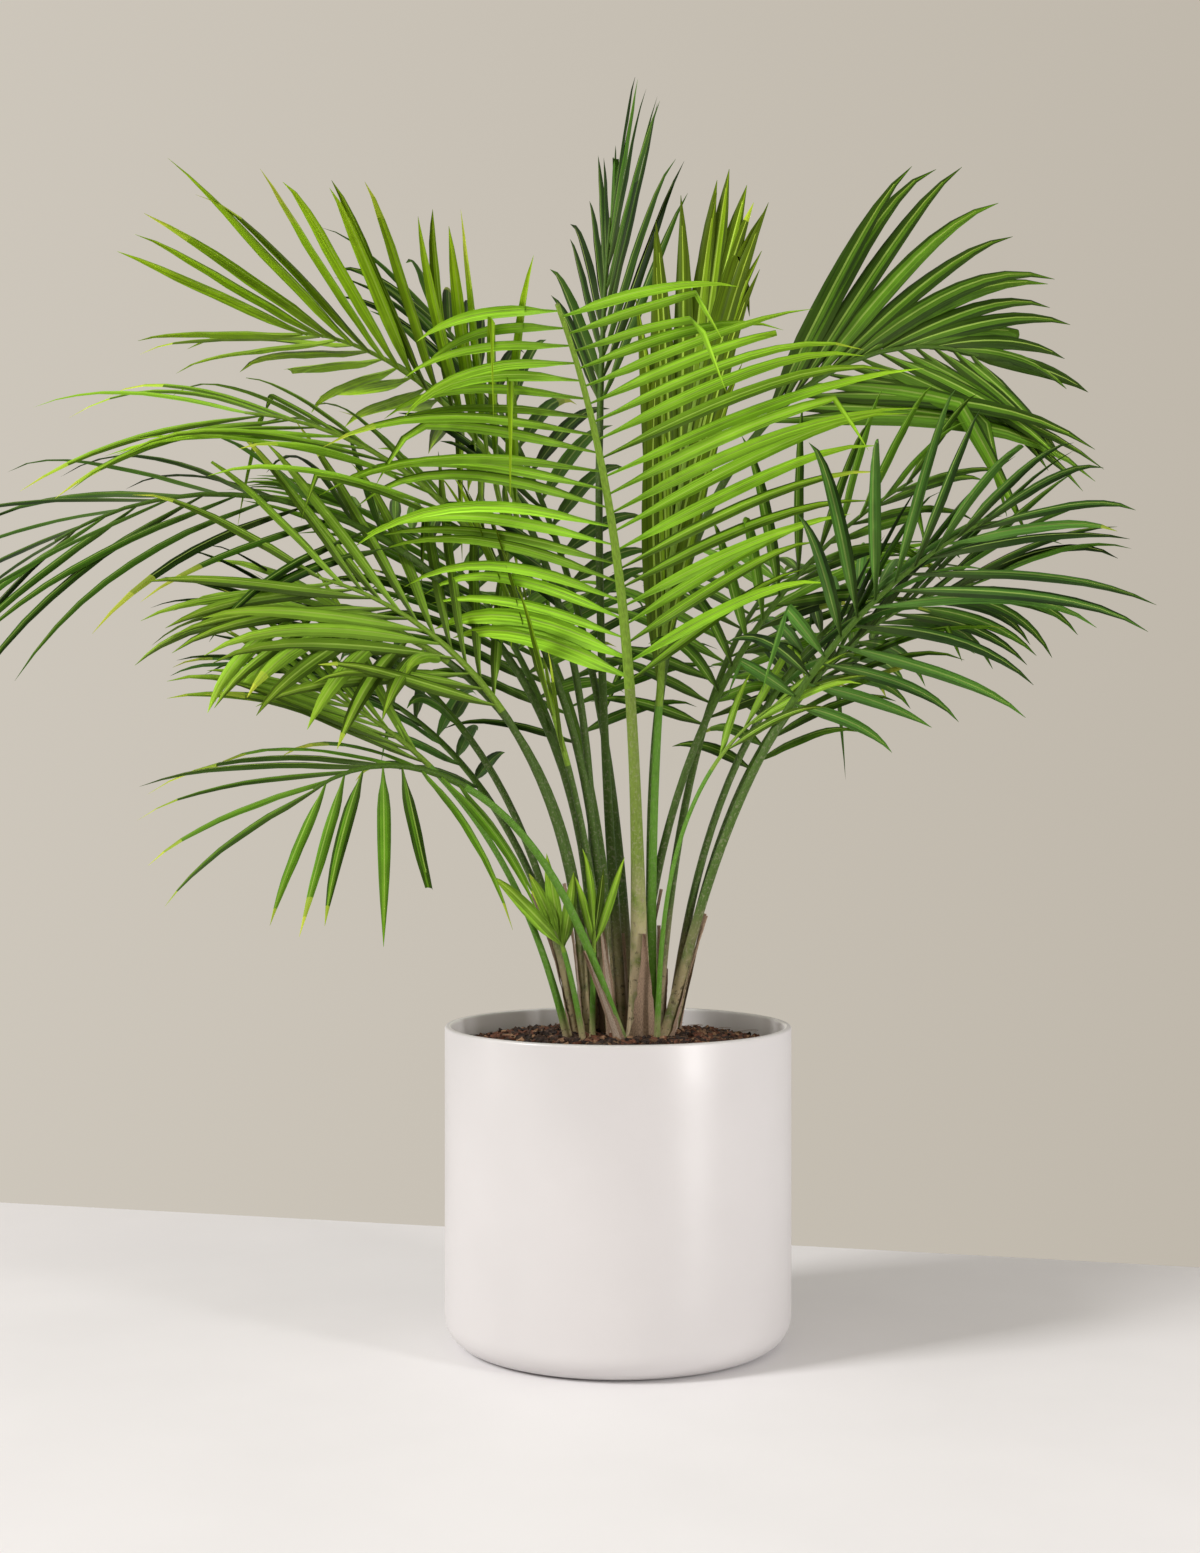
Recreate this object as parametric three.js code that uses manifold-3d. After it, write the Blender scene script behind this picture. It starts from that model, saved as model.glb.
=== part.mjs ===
// A potted majesty palm. Millimetres, +Z up, the origin in the middle of the pot's flat underside.
// The pot's front, as it is usually looked at, faces -Y.

import * as THREE from 'three';
import {mergeVertices} from 'three/addons/utils/BufferGeometryUtils.js';
import Module from 'manifold-3d';

const wasm = await Module();
wasm.setup();
const {Manifold} = wasm;

// The pot: a plain straight-sided planter for a ten-inch nursery pot.
const POT_RADIUS = 150;
const POT_HEIGHT = 273.5;
const POT_CORNER = 25;
const POT_WALL = 6;
const POT_FLOOR = 9;
const POT_FACETS = 40;
const CORNER_STEPS = 4;

// The compost: a low mound, highest in the middle and a finger's breadth under the rim at the wall.
const SOIL_TOP = 264.5;
const SOIL_FALL = 11;
const SOIL_CURVE = 2.6;
const SOIL_RINGS = 4;
const SOIL_FACETS = 32;

// Neighbouring pieces keep this far apart, and leaflets of two fronds a little further.
const SEAM = 0.3;
const LEAF_CLEARANCE = 0.35;

// How finely a frond's midline is worked out, and how finely its stalk and its rib are cut.
const SPINE_STEPS = 24;
const STALK_SIDES = 5;
const STALK_STEPS = 4;
const RIB_SIDES = 4;
const FEWEST_RIB_STEPS = 4;
const FOOT_DEPTH = 9;

// A rib's tip, as a share of its neck, and how far its straight stretches stray from the midline,
// as a share of its tip's radius. Each leaflet starts this far behind the rib's middle.
const RIB_TAPER = 0.4;
const RIB_STRAY = 0.5;
const ROOT_DEPTH = 1;

// A leaflet's form: two inner sections at these shares of its length, this share of its full width.
const LEAFLET_SECTIONS = [[0.3, 0.95], [0.65, 0.85]];
const LEAFLET_BEND = 1.6;
const LEAFLET_STEPS = 6;
const LEAFLET_SLENDERNESS = 92;
const TIP_CURVE = 1.2;
const PAIR_STAGGER = 0.16;
const FUSE_TOLERANCE = 0.08;

// Chance in the leaflets: splay and lift in degrees, the rest as shares.
const CHANCE = {splay: 4, lift: 6, length: 0.14, droop: 0.4};

// What a leaflet tries, in turn, where its own place is taken: turned by splay and lift, and shortened.
const NUDGES = [
    {splay: 0, lift: 0, share: 1},
    {splay: 0, lift: 7, share: 1},
    {splay: 0, lift: -7, share: 1},
    {splay: 6, lift: 0, share: 1},
    {splay: -6, lift: 0, share: 1},
    {splay: 4, lift: 14, share: 0.95},
    {splay: -4, lift: -14, share: 0.95},
    {splay: 9, lift: -6, share: 0.9},
    {splay: -9, lift: 6, share: 0.9},
    {splay: 0, lift: 20, share: 0.85},
    {splay: 0, lift: -20, share: 0.85},
    {splay: 0, lift: 4, share: 0.7},
    {splay: 0, lift: -4, share: 0.55},
];

// The usual frond. Angles are in degrees, bare is the stalk's share of the length, taper gives the
// first and last leaflets' share of the longest, and peak says where on the rib the longest one is.
// skew is how much further the right-hand leaflets splay than the middle, and the left-hand ones less,
// and broad says how many of the lowest right-hand leaflets are twice as wide. uneven is the share
// by which the right-hand leaflets droop more than the middle, and the left-hand ones less, and wild
// is how many times the usual chance its leaflets' directions take.
const USUAL = {
    curl: 1.6, sweep: 0, splay: [70, 30], skew: 0, lift: 8, droop: 0.4, roll: [0, 0],
    taper: [0.6, 0.6], peak: 0.4, width: 19, broad: 0, uneven: 0, wild: 2, foot_radius: 5.5,
    neck: 3.4,
};

// The fronds, those that show most first. heading is where a frond leans to, seen from above
// (0 is +X, 90 is +Y); rise is its slope at the foot, and arch how far it has bent over at its tip.
const FRONDS = [
    {name: 'front', foot: [19, -12], heading: 262, rise: 86, arch: 46, curl: 1.7, sweep: -14,
        length: 645, bare: 0.47, pairs: 21, leaflet: 262, width: 11.5, broad: 2, splay: [64, 88],
        skew: 5, lift: 13, droop: 0.4, uneven: 0.35, wild: 1.5, taper: [0.66, 0.55], peak: 0.5,
        foot_radius: 11, neck: 4.6},
    {name: 'young_fan', foot: [29, 3], heading: 20, rise: 90, arch: 13, length: 620, bare: 0.46,
        pairs: 8, leaflet: 315, width: 21, splay: [9, 4], lift: 4, droop: 0.05, wild: 1, roll: [80, 80],
        taper: [0.95, 0.5], peak: 0.3, foot_radius: 5},
    {name: 'top_centre', foot: [5, 20], heading: 125, rise: 82, arch: 6, sweep: -55, length: 760,
        bare: 0.74, pairs: 9, leaflet: 200, width: 15, splay: [34, 10], lift: -8, droop: 0.17,
        roll: [-14, -60], taper: [0.95, 0.75], foot_radius: 5},
    {name: 'upper_right', foot: [31, 33], heading: 15, rise: 91, arch: 106, curl: 2.6, length: 795,
        bare: 0.7, pairs: 13, leaflet: 320, width: 20, splay: [30, 20], skew: 11, lift: -9, droop: 0.5,
        roll: [62, 74], taper: [1, 0.4], peak: 0.02},
    {name: 'right_front', foot: [41, -16], heading: 334, rise: 75, arch: 49, curl: 1.8, sweep: 9,
        length: 530, bare: 0.57, pairs: 11, leaflet: 250, width: 13, splay: [85, 18], lift: -5,
        droop: 0.38, wild: 2.5, roll: [-28, -30], taper: [0.5, 0.5], peak: 0.53},
    {name: 'upper_left', foot: [-20, 35], heading: 180, rise: 90, arch: 95, curl: 2.55, sweep: 40,
        length: 735, bare: 0.64, pairs: 17, leaflet: 290, width: 15, splay: [86, 52], skew: 30, lift: 9,
        droop: 0, wild: 1.5, roll: [-44, 3], taper: [1, 0.77], peak: 0.76},
    {name: 'lower_left', foot: [3, -31], heading: 207, rise: 69, arch: 104, curl: 2.2, length: 405,
        bare: 0.66, pairs: 8, leaflet: 240, width: 12, splay: [92, 20], skew: -12, lift: -5, droop: 0.4,
        roll: [0, -22], taper: [0.76, 0.66], peak: 0.35, foot_radius: 4.5},
    {name: 'far_left', foot: [-23, 17], heading: 190, rise: 92, arch: 126, curl: 1.5, sweep: -4,
        length: 785, bare: 0.6, pairs: 11, leaflet: 290, width: 11, splay: [60, 20], lift: -8,
        droop: 0.5, wild: 3, roll: [-45, -23], taper: [0.72, 0.62], peak: 0.55},
    {name: 'left_bright', foot: [-9, 18], heading: 180, rise: 88, arch: 85, curl: 1.95, sweep: 6,
        length: 690, bare: 0.66, pairs: 10, leaflet: 255, width: 10, splay: [45, 34], lift: -8,
        droop: 0.5, wild: 3, roll: [4, -30], taper: [0.85, 0.9]},
    {name: 'left_low', foot: [-43, -19], heading: 194, rise: 75, arch: 54, curl: 1.5, sweep: -3,
        length: 390, bare: 0.68, pairs: 8, leaflet: 185, width: 11, splay: [26, 16], lift: 0,
        droop: 0.1, wild: 3, roll: [-50, -50], taper: [0.95, 0.5], foot_radius: 3.6, neck: 2.6},
    {name: 'left_middle', foot: [-28, 5], heading: 200, rise: 90, arch: 101, curl: 1.65, length: 515,
        bare: 0.7, pairs: 9, leaflet: 175, width: 16, splay: [66, 30], skew: -4, lift: -4, droop: 0.6,
        wild: 4, roll: [3, -34], taper: [0.8, 0.75], foot_radius: 4.5},
    {name: 'right_back', foot: [43, 12], heading: 23, rise: 75, arch: 66, curl: 1.9, sweep: -3,
        length: 540, bare: 0.61, pairs: 13, leaflet: 225, width: 13, splay: [59, 20], lift: -2,
        droop: 0.47, wild: 3, roll: [-4, -46], taper: [0.9, 0.7]},
    {name: 'inner_left', foot: [-28, -11], heading: 196, rise: 88, arch: 75, length: 490, bare: 0.6,
        pairs: 11, leaflet: 240, width: 14, splay: [56, 24], skew: 2, lift: 0, droop: 0.2, wild: 4,
        roll: [-60, -50], taper: [0.8, 0.7], foot_radius: 4.5},
    {name: 'inner_right', foot: [14, 12], heading: 356, rise: 84, arch: 54, length: 560, bare: 0.52,
        pairs: 11, leaflet: 190, width: 13, splay: [66, 28], lift: 6, droop: 0.5, wild: 4,
        roll: [-30, -30]},
    {name: 'mid_left', foot: [-37, 12], heading: 166, rise: 80, arch: 74, length: 520, bare: 0.55,
        pairs: 10, leaflet: 185, width: 13, wild: 4, foot_radius: 4.5},
    {name: 'mid_right', foot: [46, 24], heading: 20, rise: 82, arch: 66, length: 550, bare: 0.56,
        pairs: 10, leaflet: 185, width: 13, foot_radius: 4.5},
    {name: 'back_left', foot: [-6, 44], heading: 138, rise: 82, arch: 70, length: 640, bare: 0.46,
        pairs: 13, leaflet: 230, width: 14},
    {name: 'back', foot: [12, 50], heading: 148, rise: 87, arch: 40, length: 720, bare: 0.5, pairs: 13,
        leaflet: 215, width: 15, splay: [66, 30], droop: 0.35},
    {name: 'back_right', foot: [34, 48], heading: 62, rise: 78, arch: 72, length: 620, bare: 0.46,
        pairs: 13, leaflet: 225, width: 14},
    {name: 'back_low', foot: [2, 58], heading: 112, rise: 78, arch: 76, length: 600, bare: 0.44,
        pairs: 10, leaflet: 220, width: 13, foot_radius: 4.5},
    {name: 'back_low_left', foot: [-32, 36], heading: 156, rise: 74, arch: 76, length: 500, bare: 0.46,
        pairs: 10, leaflet: 185, width: 13, foot_radius: 4.5},
    {name: 'back_low_right', foot: [50, 36], heading: 42, rise: 76, arch: 68, length: 510, bare: 0.48,
        pairs: 10, leaflet: 180, width: 13, foot_radius: 4.5},
    {name: 'middle', foot: [-5, -6], heading: 188, rise: 84, arch: 22, sweep: -20, length: 430,
        bare: 0.55, pairs: 6, leaflet: 170, width: 14, splay: [34, 12], droop: 0.15, wild: 3,
        foot_radius: 4.5, neck: 3},
    {name: 'right_thin', foot: [33, -33], heading: 352, rise: 88, arch: 62, curl: 2.2, sweep: 0,
        length: 330, bare: 0.72, pairs: 3, leaflet: 120, width: 9, splay: [22, 8], droop: 0.3,
        roll: [60, 60], foot_radius: 2.6, neck: 1.8},
    {name: 'seedling_left', foot: [-30, -34], heading: 185, rise: 80, arch: 8, length: 96, bare: 0.8,
        pairs: 2, leaflet: 90, width: 14, splay: [28, 4], lift: 0, droop: 0.05, wild: 3, roll: [80, 80],
        foot_radius: 2.4, neck: 2.3},
    {name: 'seedling_right', foot: [-22, -23], heading: 350, rise: 90, arch: 3, length: 92, bare: 0.8,
        pairs: 2, leaflet: 88, width: 9, splay: [16, 3], lift: 0, droop: 0.03, wild: 3, roll: [80, 80],
        foot_radius: 2.4, neck: 2.2},
];

const GLAZE = new THREE.MeshStandardMaterial({color: 0xe8e2e0, roughness: 0.35, metalness: 0});
const COMPOST = new THREE.MeshStandardMaterial({color: 0x3c281e, roughness: 0.95, metalness: 0});
const STALK_GREEN = 0x7d9650;
const LEAF_GREENS = [0x6f9a35, 0x4b7d2a, 0x87a83c, 0x3a6428];

const radians = THREE.MathUtils.degToRad;
const lerp = THREE.MathUtils.lerp;
const smooth = (t) => THREE.MathUtils.smoothstep(t, 0, 1);
const DOWN = new THREE.Vector3(0, 0, -1);

// Repeatable chance, so that the palm grows the same way each time.
function chanceFrom(seed) {
    let state = (seed * 2654435761 + 12345) % 4294967296;
    return () => {
        state = (state * 1664525 + 1013904223) % 4294967296;
        return state / 4294967296 - 0.5;
    };
}

// Turns a closed three.js geometry into a solid. Points at a pole fall together, and so do some faces.
function toSolid(geometry) {
    geometry.deleteAttribute('normal');
    geometry.deleteAttribute('uv');
    const merged = mergeVertices(geometry, 1e-3);
    const index = merged.index.array;
    const triangles = [];
    for (let i = 0; i < index.length; i += 3) {
        const [a, b, c] = [index[i], index[i + 1], index[i + 2]];
        if (a !== b && b !== c && c !== a) triangles.push(a, b, c);
    }
    return new Manifold(new wasm.Mesh({
        numProp: 3,
        vertProperties: Float32Array.from(merged.attributes.position.array),
        triVerts: Uint32Array.from(triangles),
    }));
}

// The largest piece of a solid, without loose scraps.
function largestPiece(solid) {
    const pieces = solid.decompose();
    return pieces.reduce((best, piece) => (piece.volume() > best.volume() ? piece : best));
}

function meshOf(name, solid, material) {
    const data = solid.getMesh();
    const geometry = new THREE.BufferGeometry();
    geometry.setAttribute('position', new THREE.BufferAttribute(data.vertProperties, 3));
    geometry.setIndex(new THREE.BufferAttribute(data.triVerts, 1));
    const mesh = new THREE.Mesh(geometry, material);
    mesh.name = name;
    return mesh;
}

// A round form from its outline, a list of [radius, height], turned about +Z.
function turned(outline, facets) {
    const points = outline.map(([radius, height]) => new THREE.Vector2(radius, height));
    const geometry = new THREE.LatheGeometry(points, facets);
    geometry.rotateX(Math.PI / 2);
    return toSolid(geometry);
}

// The outline of a cup that is closed across its mouth, with a rounded foot.
function cupOutline(radius, base, top, corner) {
    const outline = [[0, base]];
    for (let i = 0; i <= CORNER_STEPS; i++) {
        const angle = (i / CORNER_STEPS) * (Math.PI / 2);
        const inset = corner * (1 - Math.sin(angle));
        const rise = corner * (1 - Math.cos(angle));
        outline.push([radius - inset, base + rise]);
    }
    outline.push([radius, top], [0, top]);
    return outline;
}

function makePot() {
    const outside = turned(cupOutline(POT_RADIUS, 0, POT_HEIGHT, POT_CORNER), POT_FACETS);
    const innerCorner = POT_CORNER - POT_WALL;
    const hollow = cupOutline(POT_RADIUS - POT_WALL, POT_FLOOR, POT_HEIGHT + POT_WALL, innerCorner);
    return outside.subtract(turned(hollow, POT_FACETS));
}

// How high the compost lies, this far from the pot's middle.
function soilHeight(radius) {
    return SOIL_TOP - SOIL_FALL * (radius / (POT_RADIUS - POT_WALL)) ** SOIL_CURVE;
}

function makeSoil() {
    // Facets cut inside their circle, so the flats of the pot's wall are what the compost keeps clear of.
    const flats = Math.cos(Math.PI / POT_FACETS);
    const radius = (POT_RADIUS - POT_WALL) * flats - SEAM;
    const corner = POT_CORNER - POT_WALL;
    const outline = cupOutline(radius, POT_FLOOR + SEAM, soilHeight(radius), corner).slice(0, -1);
    for (let i = SOIL_RINGS - 1; i > 0; i--) {
        const ring = (radius * i) / SOIL_RINGS;
        outline.push([ring, soilHeight(ring)]);
    }
    outline.push([0, SOIL_TOP]);
    return turned(outline, SOIL_FACETS);
}

// A frond's midline, from foot to tip: points, with the way along, up from its blade, and across.
function midline(frond) {
    const step = frond.length / SPINE_STEPS;
    const stations = [];
    let point = new THREE.Vector3(frond.foot[0], frond.foot[1], soilHeight(Math.hypot(...frond.foot)));
    let before = null;
    for (let i = 0; i <= SPINE_STEPS; i++) {
        const u = i / SPINE_STEPS;
        const slope = radians(frond.rise - frond.arch * u ** frond.curl);
        const heading = radians(frond.heading + frond.sweep * u);
        const level = new THREE.Vector3(Math.cos(heading), Math.sin(heading), 0);
        const along = level.clone().multiplyScalar(Math.cos(slope)).setZ(Math.sin(slope));
        const face = level.clone().multiplyScalar(-Math.sin(slope)).setZ(Math.cos(slope));
        const across = new THREE.Vector3().crossVectors(along, face);
        const roll = radians(lerp(frond.roll[0], frond.roll[1], u));
        const up = face.clone().multiplyScalar(Math.cos(roll)).addScaledVector(across, Math.sin(roll));
        const side = across.multiplyScalar(Math.cos(roll)).addScaledVector(face, -Math.sin(roll));
        if (before) point = point.clone().addScaledVector(before.clone().add(along), step / 2);
        stations.push({point, along, up, side});
        before = along;
    }
    return stations;
}

// The midline at any share of its length. Below the foot it runs straight on.
function stationAt(line, u) {
    const x = THREE.MathUtils.clamp(u, 0, 1) * SPINE_STEPS;
    const i = Math.min(Math.floor(x), SPINE_STEPS - 1);
    const mix = (key) => line[i][key].clone().lerp(line[i + 1][key], x - i);
    const point = mix('point');
    const along = mix('along').normalize();
    const up = mix('up');
    up.addScaledVector(along, -up.dot(along)).normalize();
    const side = new THREE.Vector3().crossVectors(along, up);
    return {point, along, up, side};
}

// A straight form, standing along +Y from 0 to 1, laid along stations: x goes across and z up.
function laidAlong(geometry, stationOf, spread) {
    const position = geometry.attributes.position;
    const vertex = new THREE.Vector3();
    for (let i = 0; i < position.count; i++) {
        vertex.fromBufferAttribute(position, i);
        const station = stationOf(vertex.y);
        const [across, up] = spread(vertex);
        const place = station.point.clone().addScaledVector(station.side, across);
        place.addScaledVector(station.up, up);
        position.setXYZ(i, place.x, place.y, place.z);
    }
    return toSolid(geometry);
}

function tube(sides, steps, stationOf, radiusOf) {
    const form = new THREE.CylinderGeometry(1, 1, 1, sides, steps).translate(0, 0.5, 0);
    return laidAlong(form, stationOf, (vertex) => {
        const radius = radiusOf(vertex.y);
        return [vertex.x * radius, vertex.z * radius];
    });
}

// The stalk: stout at the foot, cut level where it leaves the compost, and ending just below the blade.
function makeStalk(frond) {
    const line = frond.line;
    const end = frond.bare - SEAM / frond.length;
    const start = -FOOT_DEPTH / frond.length;
    const stationOf = (y) => {
        const u = lerp(start, end, y);
        const station = stationAt(line, u);
        if (u < 0) station.point.addScaledVector(station.along, u * frond.length);
        return station;
    };
    const radiusOf = (y) => lerp(frond.foot_radius, frond.neck, 1 - (1 - y) ** 2.2);
    const nearest = Math.max(0, Math.hypot(...frond.foot) - frond.foot_radius);
    const whole = tube(STALK_SIDES, STALK_STEPS, stationOf, radiusOf);
    return whole.trimByPlane([0, 0, 1], soilHeight(nearest) + SEAM);
}

// A rib has more stretches the more it bends at its tip, so that every leaflet meets it.
function ribSteps(frond) {
    const length = frond.length * (1 - frond.bare);
    const bend = radians(frond.arch * frond.curl + Math.abs(frond.sweep)) * (1 - frond.bare);
    const stray = RIB_STRAY * RIB_TAPER * frond.neck;
    return Math.max(FEWEST_RIB_STEPS, Math.ceil(Math.sqrt((length * bend) / (8 * stray))));
}

function makeRib(frond) {
    const stationOf = (y) => stationAt(frond.line, lerp(frond.bare, 1, y));
    const radiusOf = (y) => lerp(frond.neck, frond.neck * RIB_TAPER, y);
    return tube(RIB_SIDES, ribSteps(frond), stationOf, radiusOf);
}

// Where a frond's leaflets spring from its rib, and how each one starts off, in the order they grow.
function leafletPlans(frond, seed) {
    const chance = chanceFrom(seed);
    const plans = [];
    for (let i = 0; i < frond.pairs; i++) {
        for (const hand of [-1, 1]) {
            const t = (i + 0.5 + hand * PAIR_STAGGER) / frond.pairs;
            const rising = t < frond.peak;
            const way = rising ? smooth(t / frond.peak) : smooth((t - frond.peak) / (1 - frond.peak));
            const share = rising ? lerp(frond.taper[0], 1, way) : lerp(1, frond.taper[1], way);
            const slant = lerp(frond.splay[0], frond.splay[1], t ** TIP_CURVE) + hand * frond.skew;
            const spread = i < frond.broad && hand > 0 ? 2 : 1;
            const droop = frond.droop * (1 + hand * frond.uneven);
            plans.push({
                hand,
                at: lerp(frond.bare, 1, t),
                splay: slant + frond.wild * CHANCE.splay * chance(),
                lift: frond.lift + frond.wild * CHANCE.lift * chance(),
                length: frond.leaflet * share * (1 + CHANCE.length * chance()),
                droop: droop * (1 + frond.wild * CHANCE.droop * chance()),
                width: frond.width * lerp(0.8, 1, share) * spread,
            });
        }
    }
    return plans;
}

// A leaflet leaves the rib's middle at its own slant and bends down under its weight.
function makeLeaflet(frond, plan, nudge) {
    const root = stationAt(frond.line, plan.at);
    const splay = radians(plan.splay + nudge.splay);
    const lift = radians(plan.lift + nudge.lift);
    const outward = root.side.clone().multiplyScalar(plan.hand * Math.cos(lift));
    outward.addScaledVector(root.up, Math.sin(lift));
    const start = root.along.clone().multiplyScalar(Math.cos(splay));
    start.addScaledVector(outward, Math.sin(splay));
    const length = plan.length * nudge.share;
    const bend = (w) => start.clone().addScaledVector(DOWN, plan.droop * w ** LEAFLET_BEND).normalize();
    const stations = [];
    const point = root.point.clone().addScaledVector(start, -ROOT_DEPTH);
    for (let i = 0; i <= LEAFLET_STEPS; i++) {
        const along = bend(i / LEAFLET_STEPS);
        const up = root.up.clone().addScaledVector(along, -root.up.dot(along)).normalize();
        stations.push({point: point.clone(), up, side: new THREE.Vector3().crossVectors(along, up)});
        point.addScaledVector(bend((i + 0.5) / LEAFLET_STEPS), length / LEAFLET_STEPS);
    }
    const stationOf = (y) => stations[Math.round(y * LEAFLET_STEPS)];
    const outline = [[0, 0], ...LEAFLET_SECTIONS.map(([at, wide]) => [wide, nearestStep(at)]), [0, 1]];
    const form = new THREE.LatheGeometry(outline.map(([x, y]) => new THREE.Vector2(x, y)), 3);
    const thickness = Math.max(2.2, length / LEAFLET_SLENDERNESS);
    const halfWidth = plan.width / 2 / Math.sin(Math.PI / 3);
    return laidAlong(form, stationOf, (vertex) => {
        const depth = (vertex.z + 0.5) / 1.5;
        return [vertex.x * halfWidth, depth * thickness];
    });
}

function nearestStep(share) {
    return Math.round(share * LEAFLET_STEPS) / LEAFLET_STEPS;
}

// What already stands, to keep clear of, with the frond that each solid belongs to.
const standing = [];

function boxesMeet(a, b) {
    const near = (k) => a.min[k] - b.max[k] < LEAF_CLEARANCE && b.min[k] - a.max[k] < LEAF_CLEARANCE;
    return [0, 1, 2].every(near);
}

function isFree(solid, owner) {
    const box = solid.boundingBox();
    return standing.every((other) => (
        other.owner === owner
        || !boxesMeet(box, other.box)
        || solid.minGap(other.solid, LEAF_CLEARANCE) >= LEAF_CLEARANCE
    ));
}

function stand(solid, owner) {
    standing.push({solid, owner, box: solid.boundingBox()});
    return solid;
}

// Leaflets that find room, fused to their rib.
function makeBlade(frond, rib, seed) {
    const parts = [rib];
    for (const plan of leafletPlans(frond, seed)) {
        for (const nudge of NUDGES) {
            const leaflet = makeLeaflet(frond, plan, nudge);
            if (isFree(leaflet, frond.name)) {
                parts.push(stand(leaflet, frond.name));
                break;
            }
        }
    }
    return largestPiece(Manifold.union(parts).simplify(FUSE_TOLERANCE));
}

const palm = new THREE.Group();
palm.add(meshOf('pot', makePot(), GLAZE));
palm.add(meshOf('soil', makeSoil(), COMPOST));

const fronds = FRONDS.map((own) => {
    const frond = {...USUAL, ...own};
    frond.line = midline(frond);
    return frond;
});

for (const frond of fronds) {
    const stalk = stand(makeStalk(frond), 'stalk of ' + frond.name);
    const material = new THREE.MeshStandardMaterial({color: STALK_GREEN, roughness: 0.6, metalness: 0});
    palm.add(meshOf('stalk_' + frond.name, stalk, material));
}

const ribs = fronds.map((frond) => stand(makeRib(frond), frond.name));
fronds.forEach((frond, i) => {
    const color = LEAF_GREENS[i % LEAF_GREENS.length];
    const material = new THREE.MeshStandardMaterial({color, roughness: 0.5, metalness: 0});
    palm.add(meshOf('frond_' + frond.name, makeBlade(frond, ribs[i], i + 1), material));
});

export default palm;
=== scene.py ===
"""The looks of a potted majesty palm: satin pot, bark compost, channelled stalks and folded leaflets.

Sizes that belong to the growing palm are in millimetres, as in the part's own source, and every
mesh is in metres. Each frond is grown again here by the source's rule, with finer leaflets.
"""

import math
import random

import bmesh
import bpy
import numpy as np
from mathutils import Euler, Matrix, Vector, noise


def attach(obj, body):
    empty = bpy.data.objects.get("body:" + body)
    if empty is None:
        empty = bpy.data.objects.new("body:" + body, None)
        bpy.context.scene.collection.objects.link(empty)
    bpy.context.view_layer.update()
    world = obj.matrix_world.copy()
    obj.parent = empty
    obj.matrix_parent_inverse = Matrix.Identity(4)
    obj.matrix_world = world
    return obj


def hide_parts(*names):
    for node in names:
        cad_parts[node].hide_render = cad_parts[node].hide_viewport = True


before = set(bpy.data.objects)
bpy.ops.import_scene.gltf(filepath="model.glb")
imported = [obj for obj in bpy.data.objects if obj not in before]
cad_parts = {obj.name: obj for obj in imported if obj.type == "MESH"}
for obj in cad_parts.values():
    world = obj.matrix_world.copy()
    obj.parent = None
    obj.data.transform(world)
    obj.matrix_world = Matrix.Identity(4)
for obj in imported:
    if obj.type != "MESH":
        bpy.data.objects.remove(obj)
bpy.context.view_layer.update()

bl_info = {
    "name": "Potted majesty palm",
    "version": (1, 0, 0),
    "blender": (4, 5, 0),
    "location": "View3D > Sidebar > Palm",
    "description": "Makes a potted majesty palm, piece by piece",
    "category": "Add Mesh",
}

MM = 0.001
TURN = 2 * math.pi
DOWN = np.array([0.0, 0.0, -1.0])
UPWARD = np.array([0.0, 0.0, 1.0])

# The compost's mound, as the stalks and the pot need it.
SOIL_TOP = 264.5
SOIL_FALL = 11
SOIL_CURVE = 2.6
SOIL_RADIUS = 144

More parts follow.
